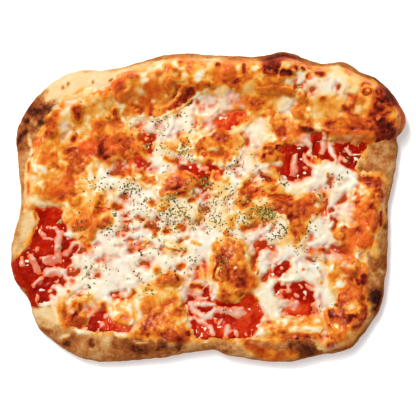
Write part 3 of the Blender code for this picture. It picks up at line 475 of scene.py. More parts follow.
scorchMarks = [  # blisters and burnt spots on the cheese
    (0.8, -95, 44, 3), (0.78, -78, 58, 3.4, -78, 52, 2), (0.78, -66, 49, 3), (0.8, -55.5, 58, 1.8, -55.5, 54, 2),
    (0.74, -60, 53.5, 1.6), (0.78, -57, 41.5, 2.6), (0.7, -56, 35, 2, -52.5, 35, 2), (0.68, -81, 41, 2),
    (0.8, -53, 72, 3.2), (0.66, -68, 43, 1.6), (0.34, -72, 65, 2.4), (0.76, -83.5, 24, 2, -83.5, 19.5, 2.2),
    (0.72, -82.5, 14, 1.6, -82.5, 12, 1.6), (0.6, -80, 4, 2), (0.66, -107.5, 26, 0.7, -107.5, 22, 0.7),
    (0.66, -107.5, 14, 0.7, -107.2, 9, 0.7), (0.5, -110, 1, 1.5),
    (0.64, -104, -3, 0.7, -104, -12, 0.7, -107.5, -22, 0.8), (0.6, -80, -11, 3, -74, -9.5, 3), (0.9, -74, -8, 0.9),
    (0.56, -66, 5, 2, -69, -6, 2.2, -70, -17, 2), (0.7, -66, -2, 1.8, -63.5, -2, 1.6),
    (0.66, -56.5, 0.5, 1.8, -53.5, 0.5, 1.6), (0.7, -53, 33, 2.2), (0.74, -61, 32, 1.6, -58.5, 32, 1.4),
    (0.5, -53.5, 28, 2.2), (0.66, -47, 28, 2), (0.62, -47, 22, 1.6), (0.72, -55, 20.5, 1.8, -51.5, 19.5, 1.6),
    (0.52, -38, 17, 2.4, -33, 15.5, 2.4), (0.66, -40, 21, 0.9, -38.5, 19, 1), (0.56, -26, 30, 0.8, -20, 27, 0.9),
    (0.7, -17, 21.8, 1), (0.62, -25, 8, 1, -12, 12, 1, -8, 14, 1), (0.74, -11, 5, 1.1, -9, 5, 1.1),
    (0.5, -27, -1, 1.8), (0.7, -34, 2, 1.8), (0.66, -37, -11, 0.8, -33, -13, 0.8, -32, -17, 0.8),
    (0.8, -26, -14.5, 1.2, -23.5, -14.5, 1.2), (0.66, -18, -12, 0.9, -16, -12, 0.9), (0.5, -17, -20, 1, -13, -19, 1),
    (0.52, -38.3, -21.5, 1.5), (0.3, -47, -22.5, 1.5), (0.5, -25, -24, 0.8, -20, -25.5, 0.8),
    (0.3, -5, -22, 1.6, -9, -21, 1.4), (0.6, 5, -24, 2), (0.66, 35.5, 34.5, 2.4), (0.2, 35.5, 34.5, 1),
    (0.6, 48, 30, 2, 36, 30, 2), (0.52, 11, -16, 2.2), (0.52, 21, -12, 2.2), (0.08, 14, -15, 1.6, 18, -13.4, 1.6),
    (0.64, 40, 7, 2, 49, 6, 2), (0.9, 49, 5, 0.9), (0.64, 52, -9, 2), (0.58, 60.5, 5.5, 2.8),
    (0.5, 71.5, 20, 0.8, 71.5, 18, 0.8), (0.8, 91.5, 17, 1.7, 97.5, 17, 1.9), (0.82, 101.5, 17, 1.1, 101.5, 13, 1.1),
    (0.88, 98.5, 10, 1.6, 101.5, 10, 1.5), (0.8, 101, 7, 1.8, 106, 7.5, 1.6), (0.8, 103.5, -3, 1.6, 103.5, -5, 1.6),
    (0.82, 103.5, -7.5, 1.6, 103.5, -10.5, 1.6), (0.8, 97, -20.4, 1, 97, -22, 1), (0.8, 68.5, -25.5, 1.3),
    (0.56, 79, -17, 2.4), (0.66, 97, -4, 3, 99, -12, 2.4), (0.2, 95, -12, 1.4), (0.2, 100, -17, 1.3),
    (0.74, -47, 77.5, 2, -43, 77.5, 2), (0.2, -29.5, 79.5, 4.5), (0.72, -29.5, 79.5, 2), (0.68, -22, 74, 2.4),
    (0.44, -33, 71.5, 2), (0.62, -52, 66, 2.4, -47, 68, 2), (0.6, -17, 71, 2),
    (0.92, -21.5, 90.5, 1.4, -18.5, 92, 1.2), (0.85, -15, 89.5, 1.2), (0.78, -17, 87, 1.5), (0.74, -9.5, 87, 1.4),
    (0.74, -20, 81.5, 1.6), (0.72, -37, 84, 1.5), (0.12, -54, 62, 1.4), (0.12, -47, 64, 1.2), (0.12, -33, 64, 1.4),
    (0.12, -26, 67, 1.2), (0.78, 5, 85, 2), (0.76, 10.5, 88.5, 1.2, 13.5, 88.5, 1.2), (0.76, 19.5, 88, 1.3),
    (0.82, 21, 86.5, 1.2, 21, 80, 1.3), (0.7, 27, 86.5, 1.4), (0.62, 11, 80, 4),
    (0.94, 39, 90.5, 2.4, 47, 91.5, 2.6), (0.92, 34.5, 86, 2.2, 39, 85, 2.8), (0.9, 34, 81, 2, 38, 80.5, 1.8),
    (0.92, 51, 89, 2.2), (0.8, 56, 87, 1.6, 60, 85.5, 1.2), (0.34, 44.5, 85.5, 1.6), (0.82, 52, 83, 1.8),
    (0.86, 44, 79.5, 2.4, 48, 79.5, 2.2), (0.6, 42, 76, 1.8), (0.8, 56, 82.5, 1.4),
    (0.78, 64.5, 80, 1.6, 67.5, 80, 1.6), (0.74, 59, 78, 1.4), (0.66, 31, 70, 2, 42, 70, 2.4, 50, 68.5, 2),
    (0.18, 33, 56, 3.4), (0.68, 33, 56, 1.4), (0.84, 55, 47, 2.4, 61, 47, 2.2), (0.72, 60, 52, 1.6),
    (0.82, 42, 36, 2.4, 48, 36, 2.2), (0.78, 34.5, 36, 1.8, 37.5, 36, 1.8), (0.66, 56, 65, 2.6), (0.66, 54, 56, 2.6),
    (0.1, 59, 59, 1.6), (0.08, 45, 42, 1.3), (0.84, 82, 84.5, 1.4, 82, 81.5, 1.5), (0.84, 84.5, 79.5, 1.3),
    (0.78, 71, 82.5, 1.2), (0.7, 94, 69, 3), (0.3, 94, 69, 1.4), (0.66, 91, 73, 0.9, 93, 74.5, 0.9, 95.5, 73.5, 0.9),
    (0.62, 86.5, 64, 1.8, 90, 64, 1.8), (0.74, 68, 65, 1.8), (0.7, 85, 60, 1.8), (0.8, 101, 60, 1.6, 103.5, 60, 1.4),
    (0.8, 107, 56, 1.4), (0.78, 113, 54.5, 1.3), (0.9, 101, 68, 3, 107, 66, 4, 111, 63, 3),
    (0.98, 105, 64, 1.7, 109, 64, 1.7), (0.96, 113, 64, 1.4), (0.94, 103, 52, 2.2, 103, 48, 2.4),
    (0.94, 106, 44, 2.4, 109, 44.5, 2.2), (0.86, 101, 40.5, 1.4, 111, 41.5, 1.4),
    (0.72, 80, 60, 1.4, 88, 54, 1.5, 95, 48, 1.4), (0.6, -88, -61, 2.4), (0.56, -79, -59, 3.2),
    (0.1, -81.5, -62.5, 1.6), (0.8, -78.5, -66.5, 1.8, -75.5, -66.5, 1.8), (0.64, -84, -70, 2.2, -79.5, -70, 2.2),
    (0.66, -63, -61.5, 1.4, -63, -58.5, 1.4), (0.5, -71.5, -52.5, 1.3), (0.5, -84, -50, 1.4),
    (0.6, -30.5, -37.5, 1.6), (0.66, -17, -35, 1.2, -15, -35, 1.2), (0.3, -12, -40.5, 1.5),
    (0.7, -28, -44.5, 3, -20, -43.5, 3.2), (0.85, -19.5, -43.5, 1.8), (0.66, -38, -60, 2.8), (0.62, -30, -61, 2),
    (0.66, -24, -67, 1.5), (0.66, -21.5, -68, 1.4), (0.7, -37, -75.5, 1.8), (0.92, -12, -75.5, 1.9),
    (0.74, -9.5, -47, 1.5, -6.5, -47, 1.5), (0.76, 7, -36, 2.6, 9, -41, 2.8),
    (0.3, 5.5, -36, 0.9, 5, -40, 0.9, 7, -43.5, 0.8), (0.12, 16, -36, 1.1), (0.8, 22, -56, 2.2, 28, -56, 2.2),
    (0.5, 57, -37, 1), (0.3, 67.5, -45, 1.2), (0.7, 42, -74, 1.6, 45.5, -74, 1.6), (0.56, 45, -79, 1.5),
    (0.85, 52, -78.5, 1.3), (0.22, 50, -73, 2, 60, -73, 2.4, 66, -73, 2), (0.3, 35, -66, 1.5), (0.76, 86, -39, 2.8),
    (0.84, 93, -41.5, 2.4, 93, -44, 2.4), (0.86, 89, -44.5, 2), (0.7, 80.5, -54, 1.5, 84, -54, 1.5),
    (0.76, 91, -53.5, 1.7, 93.5, -53.5, 1.5), (0.56, 87.5, -63, 1.2), (0.82, 92.5, -61, 2.2), (0.84, 93.8, -66, 1.2),
    (0.84, 88.5, -70.5, 1.2, 90.5, -70.5, 1.2), (0.66, 87, -68, 1.6), (0.8, 88.5, -76.7, 1),
    (0.2, 73.5, -70.5, 1.4, 76.5, -70.5, 1.4), (0.8, 81, -84, 0.8, 85, -83, 0.8),
    (0.6, 70, -64, 1, 73, -72, 1.1, 77, -79, 1), (0.8, 73, -82, 3), (0.2, 67.5, -83, 1, 70, -86, 1, 75, -86, 0.9),
    (0.74, 77, -58, 1, 79, -58, 1),
]

toastZones = [  # how deeply the bare dough is baked
    (0.12, -92, 62, 8, -84, 70, 7, -66, 73, 7, -54, 79, 6, -40, 85, 5), (0.34, -104, 40, 7, -96, 52, 6),
    (0.24, -106, 4, 6, -108, 30, 5), (0.3, -90, -73, 6, -66, -77, 5, -46, -77, 4), (0.3, -24, -78, 4, 30, -80, 4),
    (0.26, 44, -79, 4, 66, -82, 5), (0.3, 90, -76, 5, 98, -62, 5), (0.34, 100, -46, 5, 102, -12, 5, 104, 6, 5),
    (0.06, -101, 67, 8, -86, 77, 8, -66, 80, 7, -48, 85, 5, -38, 89, 4),
    (0.5, -116, 28, 4, -114, 36, 5, -108, 52, 6, -101, 66, 4), (0.62, -112, 46, 6, -104, 56, 7, -95, 56, 6),
    (0.28, -116, 8, 4, -117, -8, 4), (0.2, -117, -24, 5), (0.32, -113, 12, 4, -112, 28, 4),
    (0.1, -108, -6, 5, -108, -16, 5), (0.26, -116, -52, 6, -104, -66, 6, -98, -74, 5),
    (0.08, -100, -62, 5, -94, -65, 4), (0.37, -94, -82, 9, -76, -86, 8, -60, -84, 7), (0.16, -60, -80, 4),
    (0.6, -52, -81, 6, -34, -82, 6, -16, -82, 5), (0.4, -48, -90, 3, -30, -90, 3), (0.34, -12, -84, 5, -2, -84, 5),
    (0.34, 6, -85, 6, 28, -86, 6), (0.46, 32, -87, 5, 50, -87, 5), (0.7, 53, -84, 6, 63, -86, 5),
    (0.56, 72, -86, 4, 88, -82, 5, 96, -74, 5), (0.84, 101, -50, 4, 101, -60, 4), (0.52, 103, -46, 4, 103, -30, 5),
    (0.35, 107, -24, 4, 106, 4, 4), (0.36, 108, 10, 6, 108, 34, 9, 100, 30, 8), (0.34, 97, 31, 4),
    (0.6, 112, 44, 5, 117, 56, 7), (0.8, 113, 65, 5, 105, 73, 5), (0.46, 96, 79, 4, 78, 87, 4, 62, 86, 4),
    (0.34, -28, 92, 4), (0.2, -2, 92, 4), (0.12, 6, 91, 4), (0.28, 28, 92, 4), (0.8, 36, 88, 5, 52, 90, 4),
]

toastMarks = [  # spots on the bare dough
    (0.5, -84, 73.5, 0.9), (0.5, -87, 71.5, 0.9), (0.5, -68.5, 74.5, 1), (0.7, -58.5, 75.8, 1.2),
    (0.45, -54, 77.8, 1), (0.32, -77, 82, 0.8, -71, 82, 0.8), (0.86, -107.5, 58, 2, -99, 56.5, 2.2),
    (0.9, -115, 38, 1.6, -109.5, 45.5, 1.8), (0.86, -101, 50, 1.4), (0.84, -99, 47.5, 1.3),
    (0.86, -98.5, 51, 1.7, -94, 51, 1.6), (0.08, -107, 43, 0.9, -107, 37, 0.9), (0.3, -106, 52, 1.6),
    (0.3, -104, 49.5, 1.4), (0.92, -109, 52, 1.8), (0.84, -97, 60, 1.6), (0.5, -110.5, 14, 0.9, -110.5, 8, 0.9),
    (0.62, -104, -58, 1.2, -94, -58, 1.2), (0.6, -101, -74, 1.3, -95, -75, 1.3),
    (0.1, -89, -79, 0.9, -86.5, -77, 1, -84, -76, 0.9), (0.8, -85, -82, 1.9), (0.6, -82, -78, 1.4),
    (0.78, -70.5, -80, 1.4, -69.5, -83, 1.4), (0.16, -46, -79.5, 0.8, -42.5, -81, 0.9, -38, -79.8, 0.8),
    (0.84, -18, -82, 1.5, -18, -84.5, 1.4), (0.8, -46, -84, 2, -38, -86, 2), (0.76, -28, -82, 2.4),
    (0.1, 18.5, -82, 1, 21.5, -82, 1), (0.74, 34, -87, 1.6, 40, -88, 1.5), (0.66, 10, -87, 1.4),
    (0.8, 55, -84, 2.4, 60, -87, 2.4), (0.98, 101, -51, 2, 101, -58, 2.2), (0.2, 99.5, -58, 0.8),
    (0.16, 102, -36.5, 0.8, 105, -38.5, 0.8), (0.7, 99, -36.5, 1.3), (0.5, 105.5, 28, 1), (0.5, 98, 25.5, 1.3),
    (0.96, 38.5, 90, 2.4, 46, 91, 2.6), (0.94, 50, 88.5, 2), (0.9, 35, 86, 2), (0.94, 114, 64, 2.2, 109, 69, 2.2),
    (0.9, 113, 45, 2), (0.84, 105.5, -2, 1.3), (0.8, 106, -12, 1.4), (0.7, 107, -30, 1.3),
]

doughBumps = [  # rises and dents of the bare dough, with the height in mm first
    (1, -106, 52, 2.2), (0.9, -104, 49.5, 1.8), (0.8, -112, 36, 2), (0.8, -85, -80, 3.4), (0.7, -98, -74, 2.4),
    (0.7, -70, -81.5, 2.2), (1.3, 64, 47, 2, 76, 44.5, 2.2, 97, 43, 2.2), (-2.4, 66, 37, 3, 78, 36, 4.5, 94, 35, 4),
    (-2.2, 44, 79.5, 2, 48, 79.5, 1.8), (0.8, 41, 82.5, 1, 46, 83, 1, 51, 81.5, 1), (0.9, 44, 88, 4),
    (1, 100, 72, 1.6), (1.1, 104.5, 69.5, 1.8), (1.1, 108.5, 66.5, 1.8), (1, 112, 62.5, 1.7), (0.9, 115, 58, 1.8),
    (0.9, 116, 52.5, 1.7), (1, 112, 48, 1.7), (1.1, 107, 44, 1.9), (0.8, 104, 50, 1.8), (0.8, 105, 60, 2),
    (-0.8, -92, 60, 1.4, -86, 67, 1.4), (-0.7, 3, -85.3, 1.4), (0.9, -46, -82, 3, -30, -82, 3.4), (0.7, 20, -84, 3),
]

sauceZones = [  # how light the sauce is
    (0.62, 24, -62, 8, 26, -70, 6, 0, -72, 6), (0.95, 36, -61, 3, 48, -61, 3.5, 58, -61, 3.5),
    (0.55, 4, -54, 5, -3, -57, 4), (0.8, -8, 50, 3, 5, 52, 5, 20, 56, 4), (0.7, -48, -72, 4, -60, -70, 5),
    (0.5, -95, -8, 6), (0.55, -40, 28, 4), (0.5, -112, -50, 4), (0.45, -98, -20, 6), (0.6, 66, 38, 4),
    (0.5, -8, 23, 4, 30, -21, 4), (0.6, 73, -26, 4),
]

filmStrips = [  # cheese and oil run out over the dough
    (18, -81, 2.5, 27, -83, 4.5, 36, -89, 5, 50, -87, 4), (-22, -79, 2, -8, -79, 2),
    (106, 57, 7, 116, 57, 9, 115, 49, 7), (99, -20, 3, 100, -28, 2),
]

stainStrips = [  # sauce run out over the dough
    (-107, -25, 1, -115, -33, 2.5, -117, -43, 9, -113, -53, 8, -104, -58, 2),
]

# Heights and browning, worked out over the plan.
cheeseLook = {
    "thick": 2.0, "roundEdge": 2.8, "shreds": 520, "shredRise": 0.3, "blisters": 90, "relief": 0.42, "holes": 1.8,
    "bubbleRise": 0.42, "grainRise": 0.22, "lumpRise": 0.6, "strandThin": 0.4, "steepSmooth": 0.7, "overCad": 0.5,
}
browning = {
    "ground": 0.06, "patches": 0.13, "mottle": 0.08, "speckle": 0.035, "bubbles": 0.07, "grains": 0.03,
    "oilAndShadeBetweenLumps": 0.06, "paleAndLitLumpTops": 0.62, "paleAndLitThickTops": 0.10, "paleMottle": 0.05, "scorchRing": 0.46,
    "creaseShadeStrength": 0.30, "steepEven": 0.85,
}
sauceLook = {"thick": 0.9, "pulp": 0.36, "tone": 0.26}
doughLook = {"toast": 0.40, "broad": 0.13, "fine": 0.15}


def cells(size, seed, warp=1.0):  # distance to the closest of scattered points, and a tone for each cell
    noise = np.random.default_rng(seed)
    u = (planX + plan["halfLength"] + warp * warpX) / size + 3
    v = (planY + plan["halfWidth"] + warp * warpY) / size + 3
    iu, iv = u.astype(int), v.astype(int)
    shape = (int(v.max()) + 4, int(u.max()) + 4)
    offU, offV, tone = noise.uniform(0, 1, shape), noise.uniform(0, 1, shape), noise.uniform(-1, 1, shape)
    best, pick = np.full(u.shape, 9.0), np.zeros(u.shape)
    for du in (-1, 0, 1):
        for dv in (-1, 0, 1):
            cu, cv = iu + du, iv + dv
            gap = np.hypot(u - cu - offU[cv, cu], v - cv - offV[cv, cu])
            pick = np.where(gap < best, tone[cv, cu], pick)
            best = np.minimum(best, gap)
    return best, pick


def dome(inner, radius):  # a rounded rise that is 1 in the middle and 0 at the edge
    return np.sqrt(np.clip(1 - (1 - np.clip(inner / radius, 0, 1)) ** 2, 0, 1))


def rounded(inner, radius):  # a softer rise with an easy edge
    return np.sin(np.clip(inner / radius, 0, 1) * math.pi / 2)


def distanceIn(solid):  # millimetres from the edge of the pizza, as far as 10
    depth = np.zeros(planX.shape)
    inner = solid.copy()
    for turn in range(14):
        near = inner.copy()
        for axis in (0, 1):
            for way in (1, -1):
                near &= np.roll(inner, way, axis)
        if turn % 2:
            near &= np.roll(np.roll(inner, 1, 0), 1, 1) & np.roll(np.roll(inner, -1, 0), -1, 1)
            near &= np.roll(np.roll(inner, 1, 0), -1, 1) & np.roll(np.roll(inner, -1, 0), 1, 1)
        inner = near
        depth += inner * plan["step"]
    return depth


edgeDistance = blur(distanceIn(overCrust), 0.7)
limitDepth = np.minimum(unite(fields=[cheeseLimit], reach=9) + 0.8 * ripple(5, 71, 2), edgeDistance * 1.3 - 2.2)
windowDepth = np.maximum(unite(sauceStrips, warp=1.3) - 0.1, unite(fields=sauceFields, warp=1.3))
strandDepth = unite(strands, warp=0.9) + 0.7 * ripple(2.6, 72, 2) - 0.1
rng = random.Random(41)


def randomShreds():  # shreds lying every way over the cheese, as a relief and as how far they reach
    relief = np.zeros(planX.shape)
    reachOut = np.full(planX.shape, -7.0)
    for _ in range(cheeseLook["shreds"]):
        x, y = rng.uniform(-112, 112), rng.uniform(-86, 86)
        heading, bend = rng.uniform(0, math.tau), rng.gauss(0, 0.6)
        long, wide = rng.uniform(5, 17), rng.uniform(1.0, 2.2)
        if sample(limitDepth, x, y) < 1.5:
            continue
        spine = []
        for part in (-0.5, 0, 0.5):
            turn = heading + bend * part * 2
            radius = wide * (1 - 0.7 * abs(part) * rng.random())
            spine.append((x + long * part * math.cos(turn), y + long * part * math.sin(turn), radius))
        spot, inner = stripDepth(spine, 2.0, 0.7)
        relief[spot] = np.maximum(relief[spot], rng.uniform(0.35, 1.1) * dome(inner, wide))
        reachOut[spot] = np.maximum(reachOut[spot], inner)
    return relief, reachOut


shredRelief, shredReach = randomShreds()
shredRelief = blur(shredRelief, 0.8)
body = 0.75 * ripple(8, 64, 3, 0.6) + 0.9 * (shredRelief - 0.45)  # the lumps and thin places of the melted sheet
openDepth = np.minimum(shredReach, 1.3 - windowDepth)
rosyHere = shade(np.zeros(planX.shape), rosyZones, 3.0, 1.6)
holes = np.percentile(body[limitDepth > 0], cheeseLook["holes"]) - body + 0.12 * rosyHere + 0.12 * ripple(2.4, 65, 2)
cover = np.minimum(np.maximum(-windowDepth, openDepth), -5 * holes)
strandShare = ease((strandDepth - cover) / 1.2)
cover = np.maximum(cover, np.where(limitDepth > 0, strandDepth, -7))

brown = shade(np.full(planX.shape, browning["ground"]), brownZones, 3.0, 1.6)
cover = np.where(brown > 0.3, np.maximum(cover, np.minimum(-windowDepth, 3.0)), cover)
coverage = np.minimum(limitDepth + 0.6, cover)
brownArea = ease((brown - 0.20) / 0.2)
paleArea = 1 - brownArea
bubbleNear, bubbleTone = cells(3.0, 5, 0.8)
grainNear, grainTone = cells(1.7, 6, 0.5)
bubbleDome = np.sqrt(np.clip(1 - (bubbleNear / 0.72) ** 2, 0, 1))
grainDome = np.sqrt(np.clip(1 - (grainNear / 0.75) ** 2, 0, 1))
edgeBake = ease(1 - limitDepth / 5) * np.clip(0.40 - brown, 0, 1) * np.clip(0.5 + 1.1 * ripple(9, 18, 2), 0, 1.3)
edgeBake *= 1 - shade(np.zeros(planX.shape), paleEdges, 3.0)
brown += edgeBake
lumps = 0.85 * ripple(7.5, 16, 2) + 0.35 * ripple(3.4, 17, 2)
lumpShare = ease((lumps + 0.02) / 0.8) * brownArea * (1 - ease((brown - 0.41) / 0.13))
brown += brownArea * (browning["patches"] * ripple(13, 11, 2) + browning["mottle"] * ripple(5.5, 12, 2)
                      + browning["speckle"] * ripple(2.1, 13, 2))
# The low places between lumps are browned: partly oil lying there, partly painted shade.
brown += brownArea * (browning["bubbles"] * bubbleTone * bubbleDome + browning["grains"] * grainTone
                      + browning["oilAndShadeBetweenLumps"] * ease(-lumps / 0.5) + 0.01)
# The tops of lumps and of thick places are made paler: partly the cheese's own cream, partly painted highlight.
brown -= brownArea * browning["paleAndLitThickTops"] * np.clip(body + 0.1, -1, 1)
brown -= browning["paleAndLitLumpTops"] * lumpShare * np.clip(brown, 0, 0.5)
brown += paleArea * browning["paleMottle"] * (ripple(9, 14, 2) + ripple(2.5, 15, 2))


def growBlisters():  # small blisters wherever the cheese is browned
    rise = np.zeros(planX.shape)
    for _ in range(cheeseLook["blisters"] * 5):
        x, y = rng.uniform(-112, 112), rng.uniform(-86, 90)
        level = float(sample(brown, x, y))
        if level < 0.38 or sample(coverage, x, y) < 0.8 or rng.random() > 0.2 + level * 0.4:
            continue
        radius = rng.uniform(0.8, 1.9)
        spine = [(x, y, radius), (x + rng.gauss(0, 0.8), y + rng.gauss(0, 0.8), radius * 0.8)]
        spot, inner = stripDepth(spine, 1.6, 0.35)
        rise[spot] = np.maximum(rise[spot], dome(inner + 0.3, radius) * radius * rng.uniform(0.4, 0.65))
        brown[spot] += rng.choice([0.24, 0.18, 0.12, 0.08, -0.12]) * ease(inner / radius + 0.3)
    return rise


blisterRise = growBlisters()
for level, *spine in scorchMarks:
    spot, inner = stripDepth(spine, 2.8, 0.6)
    radius = max(spine[2::3])
    if level > 0.55:  # a burnt spot has a browned ring round it
        brown[spot] += np.maximum(browning["scorchRing"] - brown[spot], 0) * ease((inner + 2.0) / 2.2) * 0.75
    share = ease((inner + 0.2 * bubbleTone[spot]) / (0.75 * radius) + 0.32)
    brown[spot] += (level + (0.14 if level > 0.84 else 0.04) * grainTone[spot] - brown[spot]) * share
    if level > 0.55:
        blisterRise[spot] = np.maximum(blisterRise[spot], dome(inner + 0.4, radius) * min(radius, 3) * 0.62)
brown = np.clip(brown, 0.0, 1.0)
thinSpots = ease((-body - 0.10) / 0.5)

toast = shade(np.full(planX.shape, doughLook["toast"]), toastZones, 3.5, 1.5)
toast += (0.25 + toast) * (doughLook["broad"] * ripple(8, 31, 3, 0.6) + doughLook["fine"] * ripple(2.6, 32, 2))
toast = np.clip(shade(toast, toastMarks, 0.9, 0.9), 0, 1)
filmDepth = unite(filmStrips)
film = ease((limitDepth + 1.6 + 1.2 * ripple(3.5, 33, 2)) / 2.0)  # cheese and oil baked into the dough's edge
film = np.maximum(film, ease((filmDepth + 1.0 + 2.6 * ripple(5, 34, 3)) / 4.5))
stain = ease(unite(stainStrips, warp=1.4) / 2 + 0.7)
film *= 1 - stain
sauceTone = shade(np.full(planX.shape, sauceLook["tone"]), sauceZones, 3.0)
sauceTone = np.clip(sauceTone + 0.2 * ripple(6, 53, 3) + 0.22 * (1 - ease(windowDepth / 1.6)), 0, 1)
print("plan shaded")

bareDough = ease(1 - limitDepth / 3)
doughRelief = bareDough * (crustLook["swell"] * ripple(11, 41, 2) + crustLook["wrinkle"] * ripple(3, 42, 3, 0.6))
for rise, *spine in doughBumps:
    spot, inner = stripDepth(spine, 2, 0.6)
    doughRelief[spot] += rise * ease(inner / 2 + 0.5)
base = baseHeight + doughRelief
inLimit = ease(limitDepth / 2.4)
below = ease(-limitDepth / 2.4)
sauceTop = base + sauceLook["thick"] * inLimit * (1 - 0.3 * inLimit) - 1.4 * below - 0.25
sauceTop += sauceLook["pulp"] * (ripple(3.6, 51, 2) + 0.6 * ripple(1.6, 52, 1)) * inLimit
slopeY, slopeX = np.gradient(blur(base, 1.5), plan["step"])
steep = ease((np.hypot(slopeX, slopeY) - 0.55) / 0.6)  # on steep sides the melt runs smooth
brown += browning["steepEven"] * steep * (blur(brown, 2.5) - brown)
rimTaper = 0.12 + 0.88 * ease((limitDepth + 0.3) / 6)
cheeseRelief = (cheeseLook["shredRise"] * shredRelief * (1 - 0.6 * brownArea)
                + cheeseLook["relief"] * (body + 0.4 * ripple(4.2, 63, 2)))
cheeseRelief += (brownArea * (cheeseLook["bubbleRise"] * bubbleDome + cheeseLook["grainRise"] * grainDome)
                 + 0.10 * paleArea * ripple(1.8, 62, 2) + blisterRise)
cheeseRelief += cheeseLook["lumpRise"] * lumpShare
cheeseRelief *= 1 - cheeseLook["steepSmooth"] * steep
thick = np.maximum(cheeseLook["thick"] * (1 - cheeseLook["strandThin"] * strandShare) + cheeseRelief, 0.5)
sheet = rounded(cover, cheeseLook["roundEdge"]) * thick * rimTaper
cheeseTop = base + 0.45 * inLimit + sheet
cheeseTop += np.where(cover < 0, np.clip(cover, -3, 0) * 0.9, 0) - 1.4 * below + 0.1
paintedCreaseShade = np.clip(blur(cheeseTop, 1.5) - cheeseTop, -0.4, 0.4) * inLimit  # painted shade in the creases: the cheese is made browner there
brown = np.clip(brown + brownArea * browning["creaseShadeStrength"] * paintedCreaseShade, 0, 1)
thinHere = shade(np.zeros(planX.shape), thinZones, 3.0, 1.6)
thinHere *= np.clip(0.75 + 0.7 * ripple(3.2, 22, 2) - 0.5 * lumpShare, 0, 1.4)
seeThrough = np.exp(-np.maximum(sheet, 0) / 0.55) * inLimit  # where the sheet is thin the sauce shows
seeThrough = np.maximum(seeThrough, thinHere)
rosy = rosyHere * (0.7 + 0.6 * ripple(3.4, 21, 2)) * (0.5 + 0.7 * thinSpots)
rosy += 0.22 * thinSpots * (0.4 + 0.6 * paleArea)
# The creases also get painted pink shade.
rosy = np.clip(rosy + 0.30 * strandShare + 0.5 * np.maximum(paintedCreaseShade, 0), 0, 1)
wideSauce = ease(1.7 * blur((windowDepth > 0) * 1.0, 4.0))  # small gaps show only the browned edge of the sauce
highest = cadBox[1].z / mm + cheeseLook["overCad"]
print("highest cheese", round(float(cheeseTop.max()), 2), "mm of", round(highest, 2))


def dropScraps(bm, fewest):  # takes away loose edges and bits of the net too small to be a piece of food
    bmesh.ops.delete(bm, geom=[e for e in bm.edges if e.is_wire], context="EDGES")
    unseen, scraps = set(bm.verts), []
    while unseen:
        island = [unseen.pop()]
        for v in island:  # the island grows while it is walked
            for edge in v.link_edges:
                other = edge.other_vert(v)
                if other in unseen:
                    unseen.remove(other)
                    island.append(other)
        if len(island) < fewest:
            scraps += island
    bmesh.ops.delete(bm, geom=scraps, context="VERTS")


def netPiece(name, top, keep):  # a sheet over the plan where keep is true, raised to top
    bm = bmesh.new()
    cols, rows = len(planXs), len(planYs)
    bmesh.ops.create_grid(bm, x_segments=cols - 1, y_segments=rows - 1, size=1)
    bm.verts.ensure_lookup_table()
    co = np.array([v.co[:2] for v in bm.verts])
    ix = np.rint((co[:, 0] + 1) / 2 * (cols - 1)).astype(int)
    iy = np.rint((co[:, 1] + 1) / 2 * (rows - 1)).astype(int)
    for v, x, y in zip(bm.verts, ix, iy):
        v.co = (planXs[x] * mm, planYs[y] * mm, top[y, x] * mm)
        v.tag = not keep[y, x]
    bmesh.ops.delete(bm, geom=[v for v in bm.verts if v.tag], context="VERTS")
    dropScraps(bm, 30)
    piece = fromBmesh(bm, name)
    piece.data.shade_smooth()
    return piece


def addLayers(piece, layers):  # plan layers written on the piece for its material to read
    points = readPoints(piece.data)
    for name, values in layers.items():
        writeLayer(piece.data, name, sample(values, points[:, 0], points[:, 1]))


cheese = netPiece("mozzarellaMelt", np.minimum(cheeseTop, highest), (coverage > -2.0) & (edgeDistance > 0.8))
addLayers(cheese, {"brown": brown, "rosy": rosy, "thin": seeThrough})
sauce = netPiece("tomatoSauce", sauceTop, (limitDepth > -2.2) & (edgeDistance > 0.8))
addLayers(sauce, {"tone": sauceTone, "wide": wideSauce})
print("cheese and sauce laid:", len(cheese.data.polygons), len(sauce.data.polygons), "faces")

edgeMoves = [  # pushes of the crust's side: x, y, reach, outward
    (-79, 82, 12, 1.2), (-101, -74, 8, 1.8), (-108, -60, 12, 1), (-86, -86, 10, 1), (98, -70, 9, 1.8),
    (104, -59, 8, 2.2), (114, 32, 6, 1.3), (113, 42, 3, -2.4), (-115, 20, 12, 0.9), (-117, 1, 3.5, 1.6),
    (22, 92, 10, 0.7), (52, 93, 7, 0.7), (82, 86, 9, 0.6), (119, 53, 5, 1.2), (84, -84, 10, 0.6), (41, -93, 8, 0.5),
    (105, -44, 5, -0.8), (113, 25, 4, 0.6), (-118, -45, 8, 0.6), (-63, -91, 6, 0.4), (9, -88, 4, 0.6),
]


